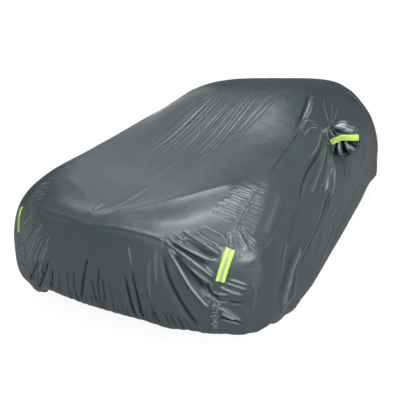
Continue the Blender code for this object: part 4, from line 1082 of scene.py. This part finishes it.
def use_group(tree, group, **values):
    """A group placed in a material, with its own values."""
    made = tree.nodes.new("ShaderNodeGroup")
    made.node_tree = group
    for key, value in values.items():
        feed(tree, made.inputs[key.replace("_", " ")], value)
    return made.outputs


THREAD = 0.0011  # metres from one thread of the weave to the next
NUMBER, VECTOR = "NodeSocketFloat", "NodeSocketVector"


def weave_group():
    """A plain weave under a thin coat, on a flat map in metres."""
    given_as = [("Flat", VECTOR, None), ("Thread", NUMBER, THREAD)]
    group, given, put = new_group("weave", given_as, [("Height", NUMBER)])
    split = group.nodes.new("ShaderNodeSeparateXYZ")
    group.links.new(given["Flat"], split.inputs[0])
    turns = calc(group, "DIVIDE", math.pi, given["Thread"])
    warp = calc(group, "SINE", calc(group, "MULTIPLY", split.outputs["X"], turns))
    weft = calc(group, "SINE", calc(group, "MULTIPLY", split.outputs["Y"], turns))
    feed(group, put["Height"], calc(group, "ABSOLUTE", calc(group, "MULTIPLY", warp, weft)))
    return group


def crumple_group():
    """Soft small creases from folding and handling, and the thin lines where the coat was pressed."""
    given_as = [("Place", VECTOR, None), ("Grain", NUMBER, 1.0)]
    group, given, put = new_group("crumple", given_as, [("Height", NUMBER), ("Lines", NUMBER)])
    grown = group.nodes.new("ShaderNodeVectorMath")
    grown.operation = "SCALE"
    group.links.new(given["Place"], grown.inputs[0])
    group.links.new(given["Grain"], grown.inputs["Scale"])
    drift = texture(group, "ShaderNodeTexNoise", grown.outputs[0], Scale=6.0, Detail=2.0)
    moved = group.nodes.new("ShaderNodeVectorMath")
    moved.operation = "MULTIPLY_ADD"
    group.links.new(drift.outputs["Color"], moved.inputs[0])
    moved.inputs[1].default_value = (0.12, 0.12, 0.12)
    group.links.new(grown.outputs[0], moved.inputs[2])
    drawn_out = scaled(group, moved.outputs[0], 1.0, 0.35, 0.8)
    swell = texture(group, "ShaderNodeTexNoise", drawn_out, Scale=26.0, Detail=4.0)
    cells = texture(group, "ShaderNodeTexVoronoi", scaled(group, moved.outputs[0], 1.0, 0.30, 0.7), Scale=9.0)
    cells.feature = "DISTANCE_TO_EDGE"
    lines = span(group, cells.outputs["Distance"], 0.0, 0.05, 1.0, 0.0)
    feed(group, put["Height"], calc(group, "ADD", swell.outputs["Fac"], calc(group, "MULTIPLY", lines, 0.25)))
    feed(group, put["Lines"], lines)
    return group


def dust_group():
    """Where fine dust and faint water marks make the coat paler, from 0 to 1."""
    group, given, put = new_group("dust", [("Place", VECTOR, None)], [("Amount", NUMBER), ("Grain", NUMBER)])
    clouds = texture(group, "ShaderNodeTexNoise", given["Place"], Scale=1.7, Detail=5.0, Roughness=0.62)
    grain = texture(group, "ShaderNodeTexNoise", given["Place"], Scale=170.0, Detail=2.0)
    feed(group, put["Amount"], span(group, clouds.outputs["Fac"], 0.38, 0.68))
    feed(group, put["Grain"], span(group, grain.outputs["Fac"], 0.30, 0.70))
    return group


STITCH, STITCH_GAP = 0.0050, 0.0014  # a stitch's length with its gap, and the gap
STITCH_THICK, STITCH_END = 0.0006, 0.0003  # half the thread's width, and how softly a stitch ends
STITCH_DRAWN, STITCH_DEPTH = 0.0025, 0.8  # how wide and, against the thread, how deep the cloth is drawn in


def stitch_group():
    """A row of stitches a set way from an edge: Run goes along it and Away from it, in metres."""
    given_as = [("Run", NUMBER, 0.0), ("Away", NUMBER, 0.0), ("At", NUMBER, 0.005)]
    group, given, put = new_group("stitches", given_as, [("Thread", NUMBER), ("Height", NUMBER)])
    off = calc(group, "ABSOLUTE", calc(group, "SUBTRACT", given["Away"], given["At"]))
    across_thread = span(group, off, STITCH_THICK * 0.5, STITCH_THICK * 1.5, 1.0, 0.0)
    done = calc(group, "MODULO", given["Run"], STITCH)
    middle = calc(group, "ABSOLUTE", calc(group, "SUBTRACT", done, STITCH / 2))
    half = (STITCH - STITCH_GAP) / 2
    along_thread = span(group, middle, half - STITCH_END, half, 1.0, 0.0)
    thread = calc(group, "MULTIPLY", across_thread, along_thread)
    drawn = span(group, off, 0.0, STITCH_DRAWN, 1.0, 0.0)
    feed(group, put["Thread"], thread)
    feed(group, put["Height"], calc(group, "SUBTRACT", thread, calc(group, "MULTIPLY", drawn, STITCH_DEPTH)))
    return group


def map_parts(tree, name):
    """The two numbers of a named map, and the map itself."""
    source, split = tree.nodes.new("ShaderNodeUVMap"), tree.nodes.new("ShaderNodeSeparateXYZ")
    source.uv_map = name
    tree.links.new(source.outputs[0], split.inputs[0])
    return split.outputs["X"], split.outputs["Y"], source.outputs[0]


def bump(tree, height, distance, strength, normal=None):
    """A Bump node: distance is in metres."""
    made = tree.nodes.new("ShaderNodeBump")
    made.inputs["Distance"].default_value, made.inputs["Strength"].default_value = distance, strength
    feed(tree, made.inputs["Height"], height)
    if normal is not None:
        tree.links.new(normal, made.inputs["Normal"])
    return made.outputs[0]


def new_material(name):
    material = bpy.data.materials.new(name)
    material.use_nodes = True
    return material, material.node_tree, material.node_tree.nodes["Principled BSDF"]


SLATE, SLATE_WARM, DUSTY = (0.0500, 0.0640, 0.0700), (0.0570, 0.0660, 0.0760), (0.0780, 0.0920, 0.0960)
THREAD_DARK = (0.030, 0.034, 0.037)
TROUGH_PAINTED_SHADE, CREST_PAINTED_HIGHLIGHT = (0.008, 0.010, 0.011), (0.270, 0.295, 0.305)  # painted shade in the troughs of narrow folds, and painted highlight on their crests
TROUGH_SPAN, CREST_SPAN = (-0.06, -0.70), (0.15, 1.10)  # of the fold map, from no painted shade or highlight to all of it
DUSTED, GRAINED, LINED = 0.22, 0.10, 0.12  # how far dust, its grain and pressed lines make the cloth paler
SMOOTHEST, ROUGHEST, TROUGH_ROUGHER = 0.33, 0.42, 0.30
COAT, COAT_ON_CREST, COAT_LOST_IN_TROUGH = 0.16, 0.30, 0.16
SCUFF = (0.45, 0.47, 0.48)
SEAM_STITCH_AT, HEM_STITCHES_AT = 0.006, (0.006, 0.030)
SCUFFS_AT, SCUFFS_REACH = (0.878, -1.475, 0.800), 0.075  # pale scuffs near the left front corner


def cloth_material(groups):
    """Coated polyester: slate, satin, faintly dusty, with stitched seams and hems, small creases, and painted
    shade in the troughs and painted highlight on the crests of narrow folds.
    """
    material, tree, shader = new_material("slate cloth")
    place = tree.nodes.new("ShaderNodeTexCoord").outputs["Object"]
    flat = map_parts(tree, "cloth")[2]
    seam_run, seam_gap, _ = map_parts(tree, "seam")
    hem_run, hem_gap_socket, _ = map_parts(tree, "hem")
    dust = use_group(tree, groups["dust"], Place=place)
    crumple = use_group(tree, groups["crumple"], Place=place, Grain=1.0)
    weave = use_group(tree, groups["weave"], Flat=flat, Thread=THREAD)
    rows = [use_group(tree, groups["stitches"], Run=seam_run, Away=seam_gap, At=SEAM_STITCH_AT)]
    for at in HEM_STITCHES_AT:
        rows.append(use_group(tree, groups["stitches"], Run=hem_run, Away=hem_gap_socket, At=at))
    tint = texture(tree, "ShaderNodeTexNoise", place, Scale=2.6, Detail=3.0)
    colour = mixed(tree, span(tree, tint.outputs["Fac"], 0.35, 0.65), (*SLATE, 1.0), (*SLATE_WARM, 1.0))
    dusted = calc(tree, "MULTIPLY", dust["Amount"], DUSTED)
    grained = calc(tree, "MULTIPLY", dust["Grain"], GRAINED)
    pale = calc(tree, "ADD", dusted, grained)
    pale = calc(tree, "ADD", pale, calc(tree, "MULTIPLY", crumple["Lines"], LINED))
    colour = mixed(tree, pale, colour, (*DUSTY, 1.0))
    off = tree.nodes.new("ShaderNodeVectorMath")
    off.operation = "DISTANCE"
    tree.links.new(place, off.inputs[0])
    off.inputs[1].default_value = tuple(np.array(SCUFFS_AT) + TO_PACKED)
    marks = texture(tree, "ShaderNodeTexNoise", scaled(tree, place, 1.0, 1.0, 0.5), Scale=75.0, Detail=1.0)
    near = span(tree, off.outputs["Value"], SCUFFS_REACH * 0.6, SCUFFS_REACH, 1.0, 0.0)
    scuffs = calc(tree, "MULTIPLY", near, span(tree, marks.outputs["Fac"], 0.66, 0.72))
    colour = mixed(tree, scuffs, colour, (*SCUFF, 1.0))
    height = 0.0
    for row in rows:
        colour = mixed(tree, row["Thread"], colour, (*THREAD_DARK, 1.0))
        height = calc(tree, "ADD", row["Height"], height)
    # Painted shade in the troughs of narrow folds and painted highlight on their crests, from the fold map.
    crease = map_parts(tree, "fold")[0]
    trough_painted_shade, crest = span(tree, crease, *TROUGH_SPAN), span(tree, crease, *CREST_SPAN)
    colour = mixed(tree, trough_painted_shade, colour, (*TROUGH_PAINTED_SHADE, 1.0))
    colour = mixed(tree, crest, colour, (*CREST_PAINTED_HIGHLIGHT, 1.0))
    tree.links.new(colour, shader.inputs["Base Color"])
    rough = span(tree, calc(tree, "ADD", dust["Amount"], crumple["Lines"]), 0.0, 1.6, SMOOTHEST, ROUGHEST)
    rougher = calc(tree, "MULTIPLY", trough_painted_shade, TROUGH_ROUGHER)
    tree.links.new(calc(tree, "ADD", rough, rougher), shader.inputs["Roughness"])
    coat = calc(tree, "ADD", calc(tree, "MULTIPLY", crest, COAT_ON_CREST), COAT)
    coat = calc(tree, "SUBTRACT", coat, calc(tree, "MULTIPLY", trough_painted_shade, COAT_LOST_IN_TROUGH))
    tree.links.new(coat, shader.inputs["Coat Weight"])
    normal = bump(tree, crumple["Height"], 0.0035, 0.45)
    normal = bump(tree, weave["Height"], 0.0002, 0.35, normal)
    normal = bump(tree, height, 0.0008, 0.7, normal)
    tree.links.new(normal, shader.inputs["Normal"])
    shader.inputs["Coat Roughness"].default_value = 0.20
    material.diffuse_color = (*SLATE, 1.0)
    return material


YELLOW, SILVER, PALE, OLIVE = (0.60, 0.90, 0.085), (0.37, 0.41, 0.34), (0.74, 0.92, 0.36), (0.13, 0.19, 0.04)
TAPE_DUST = (0.55, 0.58, 0.45)
TAPE_STITCHES_IN = 0.0025  # from a front tape's edge to its stitches
THREAD_SHOWS = 0.45
TAPE_GLOW = 0.07  # a little light of their own, in place of the beads that throw light back


def tape_material(name, groups, strip_width, strip_colour, line_width):
    """Reflective tape: yellow-green, with a strip down its middle that a fine line may border."""
    material, tree, shader = new_material(name)
    over, run_along, flat = map_parts(tree, "tape")
    middle = calc(tree, "ABSOLUTE", calc(tree, "SUBTRACT", over, 0.5))
    half = strip_width / 2
    strip = span(tree, middle, half, half + 0.012, 1.0, 0.0)
    from_border = calc(tree, "ABSOLUTE", calc(tree, "SUBTRACT", middle, half))
    edge = span(tree, from_border, line_width / 2, line_width, 0.9, 0.0)
    place = tree.nodes.new("ShaderNodeTexCoord").outputs["Object"]
    dust = use_group(tree, groups["dust"], Place=place)
    crumple = use_group(tree, groups["crumple"], Place=place, Grain=2.2)
    colour = mixed(tree, strip, (*YELLOW, 1.0), (*strip_colour, 1.0))
    if line_width:
        colour = mixed(tree, edge, colour, (*OLIVE, 1.0))
    glass = texture(tree, "ShaderNodeTexVoronoi", scaled(tree, flat, 1.0, 24.0, 1.0), Scale=38.0)
    beads = span(tree, glass.outputs["Distance"], 0.2, 0.6, 1.06, 0.90)
    lit = tree.nodes.new("ShaderNodeHueSaturation")
    tree.links.new(colour, lit.inputs["Color"])
    tree.links.new(beads, lit.inputs["Value"])
    dusted = calc(tree, "MULTIPLY", dust["Grain"], GRAINED)
    colour = mixed(tree, dusted, lit.outputs["Color"], (*TAPE_DUST, 1.0))
    away, at = calc(tree, "MULTIPLY", middle, FRONT_TAPE_WIDTH), FRONT_TAPE_WIDTH / 2 - TAPE_STITCHES_IN
    stitches = use_group(tree, groups["stitches"], Run=run_along, Away=away, At=at)
    colour = mixed(tree, calc(tree, "MULTIPLY", stitches["Thread"], THREAD_SHOWS), colour, (*OLIVE, 1.0))
    tree.links.new(colour, shader.inputs["Base Color"])
    tree.links.new(colour, shader.inputs["Emission Color"])
    shader.inputs["Emission Strength"].default_value = TAPE_GLOW
    tree.links.new(span(tree, strip, 0.0, 1.0, 0.60, 0.50), shader.inputs["Roughness"])
    normal = bump(tree, crumple["Height"], 0.0012, 0.4)
    normal = bump(tree, stitches["Height"], 0.0006, 0.6, normal)
    tree.links.new(normal, shader.inputs["Normal"])
    material.diffuse_color = (*YELLOW, 1.0)
    return material


# ---------------------------------------------------------------- camera and light

CAMERA_AT = np.array((1.545, -3.620, 1.560))
CAMERA_YAW, CAMERA_PITCH, CAMERA_ROLL = 29.70, 17.27, -1.24  # degrees: to the right of +Y, down, and tilted
CAMERA_LENS, CAMERA_SENSOR = 38.73, 36.0  # millimetres


def camera():
    yaw, pitch, roll = (math.radians(angle) for angle in (CAMERA_YAW, CAMERA_PITCH, CAMERA_ROLL))
    forward = Vector((-math.sin(yaw) * math.cos(pitch), math.cos(yaw) * math.cos(pitch), -math.sin(pitch)))
    right = Vector((math.cos(yaw), math.sin(yaw), 0.0))
    up = right.cross(forward)
    level = math.cos(roll) * right + math.sin(roll) * up
    upright = -math.sin(roll) * right + math.cos(roll) * up
    data = bpy.data.cameras.new("camera")
    data.lens, data.sensor_width = CAMERA_LENS, CAMERA_SENSOR
    data.clip_start, data.clip_end = 0.1, 100.0
    view = bpy.data.objects.new("camera", data)
    turn = Matrix((level, upright, -forward)).transposed().to_4x4()
    view.matrix_world = Matrix.Translation(Vector(CAMERA_AT + TO_PACKED)) @ turn
    bpy.context.scene.collection.objects.link(view)
    bpy.context.scene.camera = view


Light = namedtuple("Light", "name place aim width height power colour")
LIGHTS = (
    Light("overhead", (0.0, -1.2, 7.0), (0.0, -0.8, 0.8), 3.6, 3.0, 150.0, (0.97, 0.99, 1.0)),
    Light("high, in front", (0.8, -3.8, 6.6), (0.0, -0.8, 0.8), 2.2, 1.8, 110.0, (0.97, 0.99, 1.0)),
    Light("behind, high", (-1.7, 1.6, 9.2), (0.0, -0.8, 0.8), 3.0, 2.2, 235.0, (0.97, 0.99, 1.0)),
    Light("behind, middle", (-5.0, 4.0, 4.8), (0.0, -0.8, 0.8), 3.4, 2.4, 20.0, (0.96, 0.98, 1.0)),
    Light("behind, low", (-6.8, 4.9, 2.1), (0.0, -0.8, 0.8), 3.6, 3.0, 55.0, (0.96, 0.98, 1.0)),
    Light("front left", (5.2, -7.0, 4.9), (0.0, -0.8, 0.8), 4.5, 3.4, 620.0, (0.97, 0.99, 1.0)),
    Light("left side", (6.6, 3.0, 5.6), (0.0, -0.8, 0.8), 4.5, 3.5, 95.0, (0.97, 0.99, 1.0)),
    Light("left, low", (6.0, -3.2, 1.0), (0.9, -1.4, 0.5), 2.4, 1.7, 25.0, (0.97, 0.99, 1.0)),
)


def lights():
    for row in LIGHTS:
        data = bpy.data.lights.new(row.name, "AREA")
        data.shape, data.size, data.size_y = "RECTANGLE", row.width, row.height
        data.energy, data.color = row.power, row.colour
        lamp = bpy.data.objects.new(row.name, data)
        place, aim = Vector(row.place), Vector(row.aim)
        lamp.location = place + Vector(TO_PACKED)
        lamp.rotation_euler = (aim - place).to_track_quat("-Z", "Y").to_euler()
        bpy.context.scene.collection.objects.link(lamp)


SKY_LOW, SKY_HIGH = (0.44, 0.46, 0.47), (0.03, 0.03, 0.03)
SKY_TURNS = (0.42, 0.66)  # from 0 below to 1 above: where the low colour ends and the high one begins
REAR_SPAN, DARKER_REAR = (-0.4, 0.5), 0.70  # from front to rear, and how much of that its rear end gives


def surroundings():
    """Pale background for the camera, and a dim studio for the light that falls on the cover."""
    world = bpy.data.worlds.new("studio")
    bpy.context.scene.world = world
    world.use_nodes = True
    nodes, links = world.node_tree.nodes, world.node_tree.links
    nodes.clear()
    out = nodes.new("ShaderNodeOutputWorld")
    mix, path = nodes.new("ShaderNodeMixShader"), nodes.new("ShaderNodeLightPath")
    dim, pale = nodes.new("ShaderNodeBackground"), nodes.new("ShaderNodeBackground")
    pale.inputs["Color"].default_value = (1.0, 1.0, 1.0, 1.0)
    where, split = nodes.new("ShaderNodeTexCoord"), nodes.new("ShaderNodeSeparateXYZ")
    ramp = nodes.new("ShaderNodeValToRGB")
    for stop, place, colour in zip(ramp.color_ramp.elements, SKY_TURNS, (SKY_LOW, SKY_HIGH)):
        stop.position, stop.color = place, (*colour, 1.0)
    links.new(where.outputs["Generated"], split.inputs[0])
    links.new(span(world.node_tree, split.outputs["Z"], -1.0, 1.0), ramp.inputs["Fac"])
    links.new(ramp.outputs["Color"], dim.inputs["Color"])
    strength = span(world.node_tree, split.outputs["Y"], *REAR_SPAN, 1.0, DARKER_REAR)
    links.new(strength, dim.inputs["Strength"])
    links.new(path.outputs["Is Camera Ray"], mix.inputs["Fac"])
    links.new(dim.outputs[0], mix.inputs[1])
    links.new(pale.outputs[0], mix.inputs[2])
    links.new(mix.outputs[0], out.inputs["Surface"])


FLOOR_HALF = 60.0
FLOOR_GREY = 0.22
FLOOR_GLOW = (0.90, 1.05)  # its own light near the cover, and far off where it meets the white
GLOW_SPAN = (3.0, 9.0)  # metres from the middle


def floor():
    """A pale floor with a faint shadow, which turns to plain white in the distance."""
    material, tree, shader = new_material("pale floor")
    shader.inputs["Base Color"].default_value = (FLOOR_GREY, FLOOR_GREY, FLOOR_GREY, 1.0)
    shader.inputs["Roughness"].default_value = 0.9
    shader.inputs["Specular IOR Level"].default_value = 0.0
    shader.inputs["Emission Color"].default_value = (1.0, 1.0, 1.0, 1.0)
    where, far = tree.nodes.new("ShaderNodeTexCoord"), tree.nodes.new("ShaderNodeVectorMath")
    far.operation = "LENGTH"
    tree.links.new(where.outputs["Object"], far.inputs[0])
    glow = span(tree, far.outputs["Value"], *GLOW_SPAN, *FLOOR_GLOW)
    tree.links.new(glow, shader.inputs["Emission Strength"])
    level = TO_PACKED[2]
    corners = [(-FLOOR_HALF, -FLOOR_HALF, level), (FLOOR_HALF, -FLOOR_HALF, level)]
    corners += [(FLOOR_HALF, FLOOR_HALF, level), (-FLOOR_HALF, FLOOR_HALF, level)]
    mesh = bpy.data.meshes.new("floor")
    mesh.from_pydata(corners, [], [(0, 1, 2, 3)])
    mesh.materials.append(material)
    plane = bpy.data.objects.new("floor", mesh)
    bpy.context.scene.collection.objects.link(plane)
    plane.visible_glossy = False
    plane.visible_diffuse = False


# ---------------------------------------------------------------- the whole cover


def carry(piece, node):
    """Rides a piece on the cover, in the place of its node."""
    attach(piece, "root")
    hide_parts(node)


# The flat size of a sheet, in metres: width, length and, where the cut isn't a rectangle, its area.
# They suit this model's own surface. What a real cover is cut to isn't known.
Cut = namedtuple("Cut", "width length area")


def cut_out(panel):
    """The side panel's quads not wholly inside the cut-out. Their stepped edge hides in the pocket."""
    net = panel.net
    reach_y, reach_z = (net[..., 1] - CUT_Y) / CUT_HALF_WIDTH, (net[..., 2] - CUT_Z) / CUT_HALF_HEIGHT
    inside = np.hypot(reach_y, reach_z) < 1.0
    corners = inside[:-1, :-1] & inside[:-1, 1:] & inside[1:, 1:] & inside[1:, :-1]
    return ~corners


def main():
    top, rows = top_net()
    left, left_places = side_net(LEFT_COLUMNS, LEFT_STEPS)
    right, right_places = side_net(RIGHT_COLUMNS, RIGHT_STEPS)
    right = right * FLIP
    for net in (top, left, right):
        dip_hem(net)
    top_out, left_out, right_out = facing(top), facing(left), -facing(right)
    seams = (
        Seam(top_out[:, -1], rows, left, left_out, left_places, 1.0),
        Seam(top_out[:, 0] * FLIP, rows, right, right_out * FLIP, right_places, FLIP),
    )
    nets = (("top", top, top_out), ("side_left", left, left_out), ("side_right", right, right_out))
    panels = [Panel(name, net, out) for name, net, out in nets]
    dress(panels, seams)
    groups = {"weave": weave_group(), "crumple": crumple_group(), "dust": dust_group()}
    groups["stitches"] = stitch_group()
    cloth = cloth_material(groups)
    tape = tape_material("tape with silver strip", groups, 0.30, SILVER, 0.0)
    narrow_tape = tape_material("tape with bordered strip", groups, 0.26, PALE, 0.055)
    top_panel, left_panel, right_panel = panels
    covers = {"top": panel_piece(top_panel, cloth)}
    carry(covers["top"], "top_panel")
    for hand, side, seam, table, line, flip in (
        ("left", left_panel, seams[0], LEFT_POCKET, LEFT_TAPE_LINE, False),
        ("right", right_panel, seams[1], RIGHT_POCKET, RIGHT_TAPE_LINE, True),
    ):
        covers[hand] = panel_piece(side, cloth, cut_out(side), flip)
        carry(covers[hand], f"side_panel_{hand}")
        surface = Surface(side.net * (FLIP if flip else 1.0))
        folds, fans = (POCKET_FOLDS, POCKET_FANS) if hand == "left" else ((), ())
        pocket, smooth = make_pocket(f"pocket_{hand}", table, surface, folds, fans, flip, cloth)
        carry(pocket, f"mirror_pocket_{hand}")
        strip = front_tape(f"tape_front_{hand}", seam, top_panel, side, tape, flip)
        carry(strip, f"front_tape_{hand}")
        ribbon = pocket_tape(f"tape_pocket_{hand}", line, smooth, POCKET_TAPE_LIFT, narrow_tape, flip)
        carry(ribbon, f"pocket_tape_{hand}")


camera()
lights()
surroundings()
floor()
main()
bpy.context.scene.view_settings.view_transform = "Standard"
